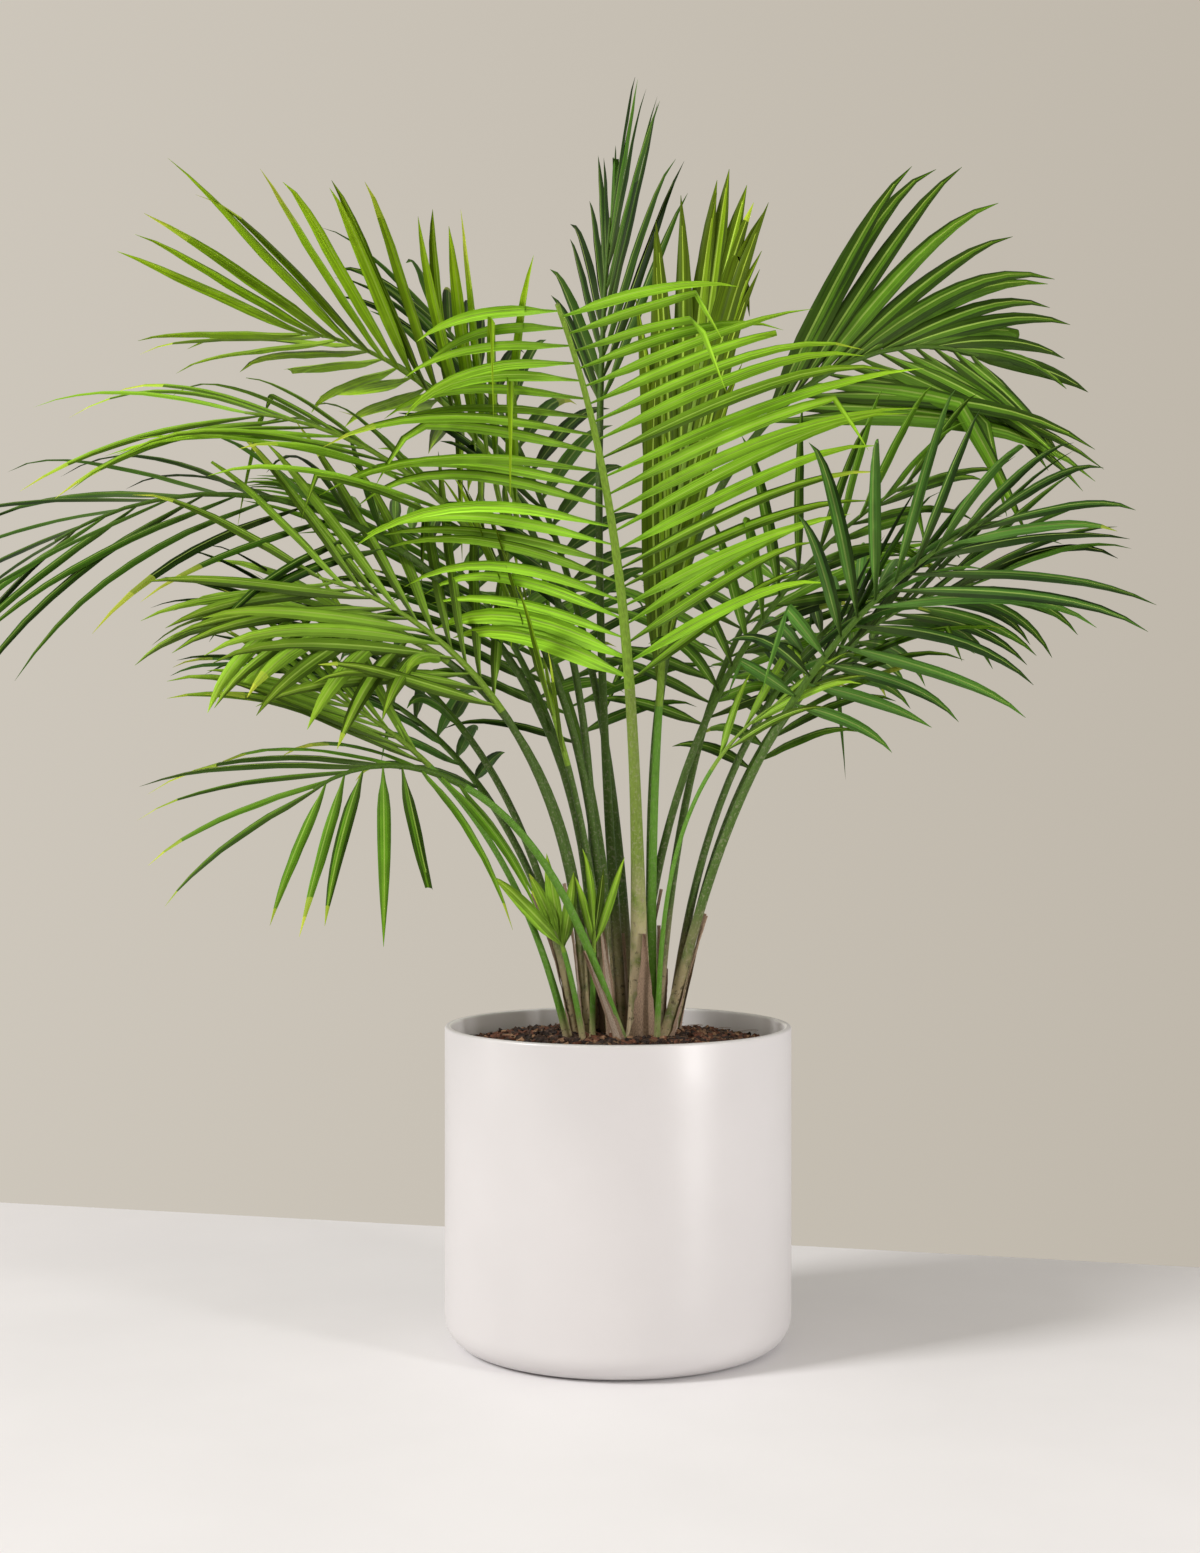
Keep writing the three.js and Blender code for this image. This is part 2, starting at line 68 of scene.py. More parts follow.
# The rule that the fronds grow by.
SPINE_STEPS = 24
RIB_TAPER = 0.4
LEAFLET_BEND = 1.6
TIP_CURVE = 1.2
PAIR_STAGGER = 0.16
CHANCE = {"splay": 4, "lift": 6, "length": 0.14, "droop": 0.4}
USUAL = {
    "curl": 1.6, "sweep": 0, "splay": (70, 30), "skew": 0, "lift": 8, "droop": 0.4, "roll": (0, 0),
    "taper": (0.6, 0.6), "peak": 0.4, "broad": 0, "uneven": 0, "wild": 2,
    "foot_radius": 5.5, "neck": 3.4,
}
FRONDS = [
    dict(name="front", tone="bright", foot=(19, -12), heading=262, rise=86, arch=46, curl=1.7,
         sweep=-14, length=645, bare=0.47, pairs=21, leaflet=262, width=11.5, broad=2, splay=(64, 88),
         skew=5, lift=13, droop=0.4, uneven=0.35, wild=1.5, taper=(0.66, 0.55), peak=0.5,
         foot_radius=11, neck=4.6),
    dict(name="young_fan", tone="backlit", foot=(29, 3), heading=20, rise=90, arch=13, length=620,
         bare=0.46, pairs=8, leaflet=315, width=21, splay=(9, 4), lift=4, droop=0.05, wild=1,
         roll=(80, 80), taper=(0.95, 0.5), peak=0.3, foot_radius=5),
    dict(name="top_centre", tone="deep", foot=(5, 20), heading=125, rise=82, arch=6, sweep=-55,
         length=760, bare=0.74, pairs=9, leaflet=200, width=15, splay=(34, 10), lift=-8, droop=0.17,
         roll=(-14, -60), taper=(0.95, 0.75), foot_radius=5),
    dict(name="upper_right", tone="mid", foot=(31, 33), heading=15, rise=91, arch=106, curl=2.6,
         length=795, bare=0.7, pairs=13, leaflet=320, width=20, splay=(30, 20), skew=11, lift=-9,
         droop=0.5, roll=(62, 74), taper=(1, 0.4), peak=0.02),
    dict(name="right_front", tone="bluish", foot=(41, -16), heading=334, rise=75, arch=49, curl=1.8,
         sweep=9, length=530, bare=0.57, pairs=11, leaflet=250, width=13, splay=(85, 18), lift=-5,
         droop=0.38, wild=2.5, roll=(-28, -30), taper=(0.5, 0.5), peak=0.53),
    dict(name="upper_left", tone="backlit", foot=(-20, 35), heading=180, rise=90, arch=95, curl=2.55,
         sweep=40, length=735, bare=0.64, pairs=17, leaflet=290, width=15, splay=(86, 52), skew=30,
         lift=9, droop=0, wild=1.5, roll=(-44, 3), taper=(1, 0.77), peak=0.76),
    dict(name="lower_left", tone="mid", foot=(3, -31), heading=207, rise=69, arch=104, curl=2.2,
         length=405, bare=0.66, pairs=8, leaflet=240, width=12, splay=(92, 20), skew=-12, lift=-5,
         droop=0.4, roll=(0, -22), taper=(0.76, 0.66), peak=0.35, foot_radius=4.5),
    dict(name="far_left", tone="deep", foot=(-23, 17), heading=190, rise=92, arch=126, curl=1.5,
         sweep=-4, length=785, bare=0.6, pairs=11, leaflet=290, width=11, splay=(60, 20), lift=-8,
         droop=0.5, wild=3, roll=(-45, -23), taper=(0.72, 0.62), peak=0.55),
    dict(name="left_bright", tone="bright", foot=(-9, 18), heading=180, rise=88, arch=85, curl=1.95,
         sweep=6, length=690, bare=0.66, pairs=10, leaflet=255, width=10, splay=(45, 34), lift=-8,
         droop=0.5, wild=3, roll=(4, -30), taper=(0.85, 0.9)),
    dict(name="left_low", tone="young", foot=(-43, -19), heading=194, rise=75, arch=54, curl=1.5,
         sweep=-3, length=390, bare=0.68, pairs=8, leaflet=185, width=11, splay=(26, 16), lift=0,
         droop=0.1, wild=3, roll=(-50, -50), taper=(0.95, 0.5), foot_radius=3.6, neck=2.6),
    dict(name="left_middle", tone="young", foot=(-28, 5), heading=200, rise=90, arch=101, curl=1.65,
         length=515, bare=0.7, pairs=9, leaflet=175, width=16, splay=(66, 30), skew=-4, lift=-4,
         droop=0.6, wild=4, roll=(3, -34), taper=(0.8, 0.75), foot_radius=4.5),
    dict(name="right_back", tone="deep", foot=(43, 12), heading=23, rise=75, arch=66, curl=1.9,
         sweep=-3, length=540, bare=0.61, pairs=13, leaflet=225, width=13, splay=(59, 20), lift=-2,
         droop=0.47, wild=3, roll=(-4, -46), taper=(0.9, 0.7)),
    dict(name="inner_left", tone="young", foot=(-28, -11), heading=196, rise=88, arch=75, length=490,
         bare=0.6, pairs=11, leaflet=240, width=14, splay=(56, 24), skew=2, lift=0, droop=0.2, wild=4,
         roll=(-60, -50), taper=(0.8, 0.7), foot_radius=4.5),
    dict(name="inner_right", tone="mid", foot=(14, 12), heading=356, rise=84, arch=54, length=560,
         bare=0.52, pairs=11, leaflet=190, width=13, splay=(66, 28), lift=6, droop=0.5, wild=4,
         roll=(-30, -30)),
    dict(name="mid_left", tone="deep", foot=(-37, 12), heading=166, rise=80, arch=74, length=520,
         bare=0.55, pairs=10, leaflet=185, width=13, wild=4, foot_radius=4.5),
    dict(name="mid_right", tone="bluish", foot=(46, 24), heading=20, rise=82, arch=66, length=550,
         bare=0.56, pairs=10, leaflet=185, width=13, foot_radius=4.5),
    dict(name="back_left", tone="mid", foot=(-6, 44), heading=138, rise=82, arch=70, length=640,
         bare=0.46, pairs=13, leaflet=230, width=14),
    dict(name="back", tone="deep", foot=(12, 50), heading=148, rise=87, arch=40, length=720, bare=0.5,
         pairs=13, leaflet=215, width=15, splay=(66, 30), droop=0.35),
    dict(name="back_right", tone="mid", foot=(34, 48), heading=62, rise=78, arch=72, length=620,
         bare=0.46, pairs=13, leaflet=225, width=14),
    dict(name="back_low", tone="deep", foot=(2, 58), heading=112, rise=78, arch=76, length=600,
         bare=0.44, pairs=10, leaflet=220, width=13, foot_radius=4.5),
    dict(name="back_low_left", tone="bluish", foot=(-32, 36), heading=156, rise=74, arch=76, length=500,
         bare=0.46, pairs=10, leaflet=185, width=13, foot_radius=4.5),
    dict(name="back_low_right", tone="mid", foot=(50, 36), heading=42, rise=76, arch=68, length=510,
         bare=0.48, pairs=10, leaflet=180, width=13, foot_radius=4.5),
    dict(name="middle", tone="backlit", foot=(-5, -6), heading=188, rise=84, arch=22, sweep=-20,
         length=430, bare=0.55, pairs=6, leaflet=170, width=14, splay=(34, 12), droop=0.15, wild=3,
         foot_radius=4.5, neck=3),
    dict(name="right_thin", tone="young", foot=(33, -33), heading=352, rise=88, arch=62, curl=2.2,
         length=330, bare=0.72, pairs=3, leaflet=120, width=9, splay=(22, 8), droop=0.3,
         roll=(60, 60), foot_radius=2.6, neck=1.8),
    dict(name="seedling_left", tone="young", foot=(-30, -34), heading=185, rise=80, arch=8, length=96,
         bare=0.8, pairs=2, leaflet=90, width=14, splay=(28, 4), lift=0, droop=0.05, wild=3,
         roll=(80, 80), foot_radius=2.4, neck=2.3),
    dict(name="seedling_right", tone="young", foot=(-22, -23), heading=350, rise=90, arch=3, length=92,
         bare=0.8, pairs=2, leaflet=88, width=9, splay=(16, 3), lift=0, droop=0.03, wild=3,
         roll=(80, 80), foot_radius=2.4, neck=2.2),
]

# A leaflet's half width at each step of its length, and where its rows of points stand across it:
# edges, side veins and the two sides of the midrib. PLEAT lifts the side veins and the midrib.
OUTLINE = np.array([0.3, 0.62, 0.87, 0.98, 1.0, 0.97, 0.89, 0.76, 0.57, 0.31, 0.02])
ACROSS = np.array([-1.0, -0.55, -0.09, 0.09, 0.55, 1.0])
PLEAT = np.array([0.0, 0.18, 0.05, 0.05, 0.18, 0.0])
LEAFLET_STEPS = len(OUTLINE) - 1
# Which strip across is the midrib. Then, as shares of a leaflet's length or width: by where it has
# opened, how high its edges ripple, and how long a kink is.
MIDRIB_STRIP = 2
OPENING = 0.28
RIPPLE = 0.06
KINK_LENGTH = 0.1


def lerp(a, b, t):
    return a + (b - a) * t


def smooth(t):
    t = np.clip(t, 0.0, 1.0)
    return t * t * (3 - 2 * t)


def unit(v):
    return v / np.linalg.norm(v, axis=-1, keepdims=True)


def shade_of(colour, share):
    """A colour made darker or paler."""
    return tuple(c * share for c in colour[:3])


def mixed(colour, other, share):
    """A colour moved part of the way to another."""
    return tuple(lerp(a, b, share) for a, b in zip(colour[:3], other))


def chance_from(seed):
    """The source's own repeatable chance."""
    state = (seed * 2654435761 + 12345) % 4294967296

    def draw():
        nonlocal state
        state = (state * 1664525 + 1013904223) % 4294967296
        return state / 4294967296 - 0.5

    return draw


def soil_height(radius):
    """How high the compost lies, this far from the pot's middle."""
    return SOIL_TOP - SOIL_FALL * (radius / SOIL_RADIUS) ** SOIL_CURVE


class Midline:
    """A frond's midline from foot to tip, with the way along, up from its blade, and across."""

    def __init__(self, frond):
        u = np.linspace(0, 1, SPINE_STEPS + 1)[:, None]
        slope = np.radians(frond["rise"] - frond["arch"] * u ** frond["curl"])
        heading = np.radians(frond["heading"] + frond["sweep"] * u)
        roll = np.radians(lerp(*frond["roll"], u))
        level = np.hstack([np.cos(heading), np.sin(heading), 0 * u])
        self.along = level * np.cos(slope) + UPWARD * np.sin(slope)
        face = UPWARD * np.cos(slope) - level * np.sin(slope)
        across = np.cross(self.along, face)
        self.up = face * np.cos(roll) + across * np.sin(roll)
        self.length = frond["length"]
        steps = (self.along[1:] + self.along[:-1]) / 2 * self.length / SPINE_STEPS
        foot = np.array([*frond["foot"], soil_height(math.hypot(*frond["foot"]))])
        self.points = foot + np.vstack([np.zeros(3), np.cumsum(steps, axis=0)])

    def at(self, u):
        """Point, along, up and side at any share of the length. Below the foot it runs straight on."""
        x = min(max(u, 0.0), 1.0) * SPINE_STEPS
        i = min(int(x), SPINE_STEPS - 1)
        point, along, up = (lerp(a[i], a[i + 1], x - i) for a in (self.points, self.along, self.up))
        along = unit(along)
        if u < 0:
            point = point + along * u * self.length
        up = unit(up - along * (up @ along))
        return point, along, up, np.cross(along, up)


def leaflet_plans(frond):
    """Where a frond's leaflets spring from its rib, and how each starts off, in the order they grow."""
    chance = chance_from(frond["seed"])
    peak, taper, wild = frond["peak"], frond["taper"], frond["wild"]
    plans = []
    for i in range(frond["pairs"]):
        for hand in (-1, 1):
            t = (i + 0.5 + hand * PAIR_STAGGER) / frond["pairs"]
            spread = 2 if i < frond["broad"] and hand > 0 else 1
            slant = lerp(*frond["splay"], t**TIP_CURVE) + hand * frond["skew"]
            droop = frond["droop"] * (1 + hand * frond["uneven"])
            if t < peak:
                share = lerp(taper[0], 1, smooth(t / peak))
            else:
                share = lerp(1, taper[1], smooth((t - peak) / (1 - peak)))
            plans.append({
                "hand": hand,
                "at": lerp(frond["bare"], 1, t),
                "splay": slant + wild * CHANCE["splay"] * chance(),
                "lift": frond["lift"] + wild * CHANCE["lift"] * chance(),
                "length": frond["leaflet"] * share * (1 + CHANCE["length"] * chance()),
                "droop": droop * (1 + wild * CHANCE["droop"] * chance()),
                "width": frond["width"] * lerp(0.8, 1, share) * spread,
            })
    return plans


def grown():
    """Every frond with its usual values filled in, its seed and its midline."""
    for seed, own in enumerate(FRONDS, start=1):
        frond = {**USUAL, **own, "seed": seed}
        frond["line"] = Midline(frond)
        yield frond


# Meshes and objects


def in_scene(name, data):
    """A new object in the scene that holds a mesh, a light or a camera."""
    thing = bpy.data.objects.new(name, data)
    bpy.context.scene.collection.objects.link(thing)
    return thing


def add_piece(name, mesh, nodes, materials):
    """A finished piece: in the scene, riding on the part, with its nodes and its materials."""
    piece = in_scene(name, mesh)
    for material in materials:
        mesh.materials.append(material)
    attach(piece, "root")
    if nodes:
        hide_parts(*nodes)


def mesh_from_bmesh(name, bm):
    mesh = bpy.data.meshes.new(name)
    bm.to_mesh(mesh)
    bm.free()
    mesh.shade_smooth()
    return mesh


def outline_mesh(corners):
    """A mesh that holds an outline's corners, each a radius and a height, joined in order."""
    bm = bmesh.new()
    points = [bm.verts.new((radius, 0, height)) for radius, height in corners]
    for first, second in zip(points, points[1:]):
        bm.edges.new((first, second))
    return bm, points


def turn_round(bm, steps):
    """Turns an outline once round the upright axis, closes its seam and faces it outwards."""
    bmesh.ops.spin(bm, geom=bm.verts[:] + bm.edges[:], cent=(0, 0, 0), axis=(0, 0, 1), angle=TURN,
                   steps=steps, use_merge=True)
    bmesh.ops.remove_doubles(bm, verts=bm.verts[:], dist=1e-5)
    bmesh.ops.recalc_face_normals(bm, faces=bm.faces[:])


class SmallThings:
    """Many small things gathered as arrays, to be made as one joined mesh."""

    def __init__(self):
        self.points, self.faces, self.slots, self.places = [], [], [], []
        self.count = 0

    def add(self, points, faces, slots, places):
        """A thing's points, its faces, their material slots, and each point's place on its map."""
        self.points.append(points)
        self.faces.append(faces + self.count)
        self.slots.append(slots)
        self.places.append(places)
        self.count += len(points)

    def add_sheet(self, grid, slots, places):
        """A thing whose points are a grid, rows by columns."""
        rows, columns = grid.shape[:2]
        number = np.arange(rows * columns).reshape(rows, columns)
        quads = np.stack([number[:-1, :-1], number[:-1, 1:], number[1:, 1:], number[1:, :-1]], -1)
        self.add(grid.reshape(-1, 3), quads.reshape(-1, 4), slots.ravel(), places.reshape(-1, 2))

    def to_mesh(self, name, map_name):
        points = np.concatenate(self.points) * MM
        faces = np.concatenate(self.faces)
        mesh = bpy.data.meshes.new(name)
        mesh.from_pydata(points.tolist(), [], faces.tolist())
        mesh.polygons.foreach_set("material_index", np.concatenate(self.slots).astype(np.int32))
        places = np.concatenate(self.places)[faces.ravel()]
        mesh.uv_layers.new(name=map_name).data.foreach_set("uv", places.astype(np.float32).ravel())
        mesh.shade_smooth()
        return mesh


# Materials


def add_node(tree, kind, output, **inputs):
    """One output of a new shader node, whose inputs are linked to sockets or set to values."""
    node = tree.nodes.new("ShaderNode" + kind)
    for name, value in inputs.items():
        socket = node.inputs[name.replace("_", " ")]
        if isinstance(value, bpy.types.NodeSocket):
            tree.links.new(value, socket)
        else:
            socket.default_value = value
    return node.outputs[output]


class Finish:
    """A material being put together round one shader."""

    def __init__(self, name, colour, roughness, specular=0.5):
        self.material = bpy.data.materials.new(name)
        self.material.use_nodes = True
        self.material.diffuse_color = (*colour[:3], 1.0)
        self.tree = self.material.node_tree
        self.inputs = self.tree.nodes["Principled BSDF"].inputs
        self.inputs["Base Color"].default_value = (*colour[:3], 1.0)
        self.inputs["Roughness"].default_value = roughness
        self.inputs["Specular IOR Level"].default_value = specular

    def add(self, kind, output, **inputs):
        return add_node(self.tree, kind, output, **inputs)

    def link(self, source, target):
        self.tree.links.new(source, target)

    def place(self, uv_map=None, stretch=(1, 1, 1)):
        """Object coordinates, or those of a UV map, stretched."""
        if uv_map:
            source = self.add("UVMap", "UV")
            source.node.uv_map = uv_map
        else:
            source = self.add("TexCoord", "Object")
        return self.add("Mapping", "Vector", Vector=source, Scale=stretch)

    def axis(self, place, name):
        """One coordinate of a place."""
        return self.add("SeparateXYZ", name, Vector=place)

    def noise(self, place, scale, detail=3.0, low=0.35, high=0.65):
        """Cloudy variation from 0 to 1, its contrast set by the low and high ends."""
        return self.spread(self.add("TexNoise", "Fac", Vector=place, Scale=scale, Detail=detail), low, high)

    def spread(self, value, low, high, to_low=0.0, to_high=1.0):
        """A value brought from one range to another, and kept in it."""
        return self.add("MapRange", "Result", Value=value, From_Min=low, From_Max=high,
                        To_Min=to_low, To_Max=to_high)

    def ridges(self, place, scale):
        """Parallel ridges across the first coordinate."""
        return self.add("TexWave", "Fac", Vector=place, Scale=scale)

    def maths(self, operation, *values):
        """What an operation makes of one or two values."""
        result = self.add("Math", "Value")
        result.node.operation = operation
        for value, socket in zip(values, result.node.inputs):
            self.link(value, socket)
        return result

    def tint(self, amount, colour):
        """Lays a second colour over the first by an amount."""
        mix = self.tree.nodes.new("ShaderNodeMix")
        mix.data_type = "RGBA"
        under, over = (socket for socket in mix.inputs if socket.type == "RGBA")
        result = next(socket for socket in mix.outputs if socket.type == "RGBA")
        base = self.inputs["Base Color"]
        if base.is_linked:
            self.link(base.links[0].from_socket, under)
        else:
            under.default_value = base.default_value
        over.default_value = (*colour[:3], 1.0)
        self.link(amount, mix.inputs["Factor"])
        self.link(result, base)

    def rough(self, amount, low, high):
        self.link(self.spread(amount, 0.0, 1.0, low, high), self.inputs["Roughness"])

    def raise_by(self, height, strength, distance):
        """Relief; a second call lays its relief over the first."""
        bump = self.add("Bump", "Normal", Height=height, Strength=strength, Distance=distance)
        normal = self.inputs["Normal"]
        if normal.is_linked:
            self.link(normal.links[0].from_socket, bump.node.inputs["Normal"])
        self.link(bump, normal)


def glaze(name, colour):
    """Satin off-white glaze: nearly even, with faint clouds and a soft orange-peel."""
    finish = Finish(name, colour, 0.3, specular=0.9)
    place = finish.place()
    finish.tint(finish.noise(place, 9, 3, 0.3, 0.7), shade_of(colour, 0.96))
    finish.rough(finish.noise(place, 24, 4), 0.34, 0.42)
    finish.raise_by(finish.noise(place, 60, 2), 0.08, 0.0004)
    return finish.material


def compost(settings):
    """Dark moist compost with lighter crumbs."""
    finish = Finish("compost", settings.dark_colour, 0.9)
    place = finish.place()
    finish.tint(finish.noise(place, 180, 6, 0.5, 0.68), settings.light_colour)
    finish.rough(finish.noise(place, 90, 4), 0.8, 1.0)
    finish.raise_by(finish.noise(place, 260, 6, 0.2, 0.8), 0.9, 0.003)
    finish.raise_by(finish.noise(place, 900, 4, 0.2, 0.8), 0.6, 0.001)
    return finish.material


def bark(name, colour):
    """One colour of bark chip, with its grain."""
    finish = Finish(name, colour, 0.85)
    place = finish.place()
    finish.tint(finish.noise(place, 400, 4), shade_of(colour, 0.6))
    finish.raise_by(finish.noise(place, 700, 4, 0.2, 0.8), 0.7, 0.001)
    return finish.material


# Heights in metres: where the stalks' feet begin, and where their scurf has thinned out.
FOOT_HEIGHT = 0.25
SCURF_TOP = 0.6


def stalk_skin(name, green, foot, foot_top, scurf, scurfy):
    """Stalk skin with fine streaks, its foot's colour up to a height, and speckled with scurf above it."""
    finish = Finish(name, green, 0.5, specular=0.15)
    place = finish.place()
    height = finish.axis(place, "Z")
    finish.tint(finish.noise(finish.place("Stalk", (1, 0.05, 1)), 26, 3), shade_of(green, 1.35))
    low = finish.spread(height, lerp(FOOT_HEIGHT, foot_top, 0.4), foot_top, 1.0, 0.0)
    patches = finish.noise(place, 60, 5, 0.25, 0.5)
    finish.tint(finish.maths("MULTIPLY", low, patches), foot)
    specks = finish.noise(place, 260, 3, 0.58, 0.66)
    finish.tint(finish.maths("MULTIPLY", low, specks), shade_of(foot, 0.35))
    amount = finish.spread(height, FOOT_HEIGHT, SCURF_TOP, scurfy, 0.3 * scurfy)
    speckle = finish.noise(place, 420, 3, 0.54, 0.64)
    finish.tint(finish.maths("MULTIPLY", amount, speckle), scurf)
    finish.rough(finish.noise(place, 120, 3), 0.42, 0.68)
    finish.raise_by(finish.ridges(finish.place("Stalk"), 9), 0.25, 0.0006)
    finish.raise_by(finish.noise(place, 500, 4, 0.3, 0.7), 0.3, 0.0005)
    return finish.material


def rib_skin(name, green):
    """The skin of a blade's rib."""
    finish = Finish(name, green, 0.5, specular=0.12)
    finish.tint(finish.noise(finish.place("Stalk", (1, 0.2, 1)), 14, 3), shade_of(green, 0.7))
    finish.raise_by(finish.ridges(finish.place("Stalk"), 6), 0.2, 0.0005)
    return finish.material


def dry_sheath(name, colour):
    """Dry papery sheath with long fibres."""
    finish = Finish(name, colour, 0.8)
    sheath = finish.place("Sheath", (1, 0.08, 1))
    finish.tint(finish.noise(sheath, 30, 4, 0.4, 0.6), shade_of(colour, 0.6))
    finish.raise_by(finish.noise(sheath, 60, 3, 0.2, 0.8), 0.6, 0.0008)
    return finish.material


# What a leaflet's green turns to near its foot, greyer as a painted sheen, and how much its three colours
# gain near its tip.
PAINTED_SHEEN_GREY = (0.16, 0.22, 0.06)
TIP_GAIN = (1.7, 1.35, 0.9)


def leaf_skin(name, colour):
    """A leaflet's skin: its own plain green, greyer low down as a painted sheen, and yellower far out,
    streaked and veined.
    """
    finish = Finish(name, colour, 0.5, specular=0.08)
    leaf = finish.place("Leaf")
    streaks = finish.place("Leaf", (1, 0.06, 1))
    finish.tint(finish.noise(streaks, 7, 2, 0.42, 0.6), shade_of(colour, 0.58))
    finish.tint(finish.noise(streaks, 13, 2, 0.52, 0.66), shade_of(colour, 1.4))
    finish.tint(finish.noise(finish.place(), 30, 2, 0.45, 0.8), shade_of(colour, 1.2))
    along = finish.maths("FRACT", finish.axis(leaf, "Y"))
    # Greyer near the foot: a painted sheen.
    finish.tint(finish.spread(along, 0.05, 0.45, 0.32, 0.0), mixed(colour, PAINTED_SHEEN_GREY, 0.6))
    finish.tint(finish.spread(along, 0.6, 1.0, 0.0, 0.4), tuple(c * k for c, k in zip(colour, TIP_GAIN)))
    finish.rough(finish.noise(streaks, 12, 2), 0.45, 0.62)
    finish.tint(finish.spread(finish.ridges(leaf, 2.6), 0.7, 1.0, 0.0, 0.3), shade_of(colour, 1.5))
    return finish.material


# Pieces


POT_TURNS = 128
# In metres: an edge of the pot's outline that is longer than this is divided.
LONG_EDGE = 0.08


def make_pot(settings):
    """The pot, turned from its outline, whose corners are rounded first, with a paler glaze inside as
    painted light.
    """
    radius, height, wall, floor = settings.radius, settings.height, settings.wall, settings.floor
    roundings = {
        (0, 0): 0,
        (radius, 0): settings.corner,
        (radius, height): settings.lip,
        (radius - wall, height): settings.lip,
        (radius - wall, floor): settings.corner - wall,
        (0, floor): 0,
    }
    bm, points = outline_mesh(roundings)
    for point, rounding in zip(points, roundings.values()):
        if rounding:
            segments = 8 if rounding > settings.lip else 4
            bmesh.ops.bevel(bm, geom=[point], offset=rounding, offset_type="OFFSET", affect="VERTICES",
                            segments=segments, profile=0.5, material=-1)
    long_edges = [edge for edge in bm.edges if edge.calc_length() > LONG_EDGE]
    bmesh.ops.subdivide_edges(bm, edges=long_edges, cuts=4)
    turn_round(bm, POT_TURNS)
    # Inside faces take the paler inner glaze: painted light on the inside of the pot, which the crown
    # shades.
    for face in bm.faces:
        middle = face.calc_center_median()
        on_the_floor = face.normal.z > 0.5 and middle.z < height / 2
        face.material_index = int(face.normal.xy.dot(middle.xy) < 0 or on_the_floor)
    skins = [glaze("satin glaze", settings.colour), glaze("inner glaze", settings.inner_painted_light_colour)]
    add_piece("planter", mesh_from_bmesh("planter", bm), ["pot"], skins)


SOIL_RINGS = 40
SOIL_TURNS = 160
# The compost's foot, as how far in from its radius it lies at each height. It follows the pot's inside.
SOIL_FOOT = ((0, 32), (6, 15), (18, 9.4))
# The height in metres above which the compost is broken up into clods.
CLODS_FROM = 0.2


def make_soil(settings):
    """The compost: one closed body that fills the pot, its top broken up into clods."""
    radius = settings.radius / MM
    rings = [radius * i / SOIL_RINGS for i in range(SOIL_RINGS + 1)]
    outline = [(ring, soil_height(ring)) for ring in rings]
    outline += [(radius - inwards, height) for inwards, height in SOIL_FOOT]
    outline.append((0, SOIL_FOOT[-1][1]))
    bm, _ = outline_mesh([(x * MM, z * MM) for x, z in outline])
    turn_round(bm, SOIL_TURNS)
    for point in bm.verts:
        if point.co.z > CLODS_FROM:
            clods = noise.noise(point.co * 120) + 0.6 * noise.noise(point.co * 300)
            point.co.z += settings.clods * clods
    add_piece("compost", mesh_from_bmesh("compost", bm), ["soil"], [compost(settings)])


CHIP_CORNERS = np.array([[x, y, z] for z in (-1, 1) for x, y in ((-1, -1), (1, -1), (1, 1), (-1, 1))]) / 2
CHIP_FACES = np.array([[0, 3, 2, 1], [4, 5, 6, 7], [0, 1, 5, 4], [1, 2, 6, 5], [2, 3, 7, 6], [3, 0, 4, 7]])
CHIP_TILT = 0.6
# How far the chips and the fibres keep from the compost's edge.
CHIP_MARGIN = 8
FIBRE_MARGIN = 22
# How many chips take each brown, from dark to tan, and the slot of the coir after them.
CHIP_WEIGHTS = (4, 4, 3, 2)
COIR = len(CHIP_WEIGHTS)
FIBRE_POINTS = 7


def on_the_compost(rng, edge):
    """A random place on the compost, evenly spread, no further out than its edge."""
    radius = edge * math.sqrt(rng.random())
    angle = rng.uniform(0, TURN)
    return np.array([radius * math.cos(angle), radius * math.sin(angle), soil_height(radius)])


def chip_points(rng, edge):
    """The uneven corners of a bark chip that lies on the compost."""
    length = rng.uniform(2.5, 10)
    size = np.array([length, length * rng.uniform(0.35, 0.7), rng.uniform(1.2, 3.2)])
    uneven = np.array([[rng.uniform(0.7, 1.15) for _ in range(3)] for _ in CHIP_CORNERS])
    place = on_the_compost(rng, edge) + UPWARD * rng.uniform(-0.5, 1.6)
    heading = rng.uniform(0, TURN)
    lean, tip = (rng.uniform(-CHIP_TILT, CHIP_TILT) for _ in range(2))
    turned = np.array(Euler((tip, lean, heading)).to_matrix())
    return (CHIP_CORNERS * uneven * size) @ turned.T + place


def fibre_grid(rng, edge):
    """A curved coir fibre that lies on the compost, as a narrow strip."""
    start = on_the_compost(rng, edge) + UPWARD * 1.5
    length, width = rng.uniform(12, 32), rng.uniform(0.25, 0.5)
    heading, curve = rng.uniform(0, TURN), rng.uniform(-1.6, 1.6)
    t = np.linspace(0, 1, FIBRE_POINTS)[:, None]
    turn = heading + curve * t
    climb = 0.25 * np.sin(t * math.pi) - 0.1
    steps = np.hstack([np.cos(turn), np.sin(turn), climb]) * length / FIBRE_POINTS
    middle = start + np.cumsum(steps, axis=0)
    side = np.hstack([-np.sin(turn), np.cos(turn), 0.3 + 0 * t]) * width
    return np.stack([middle - side, middle + side], 1)


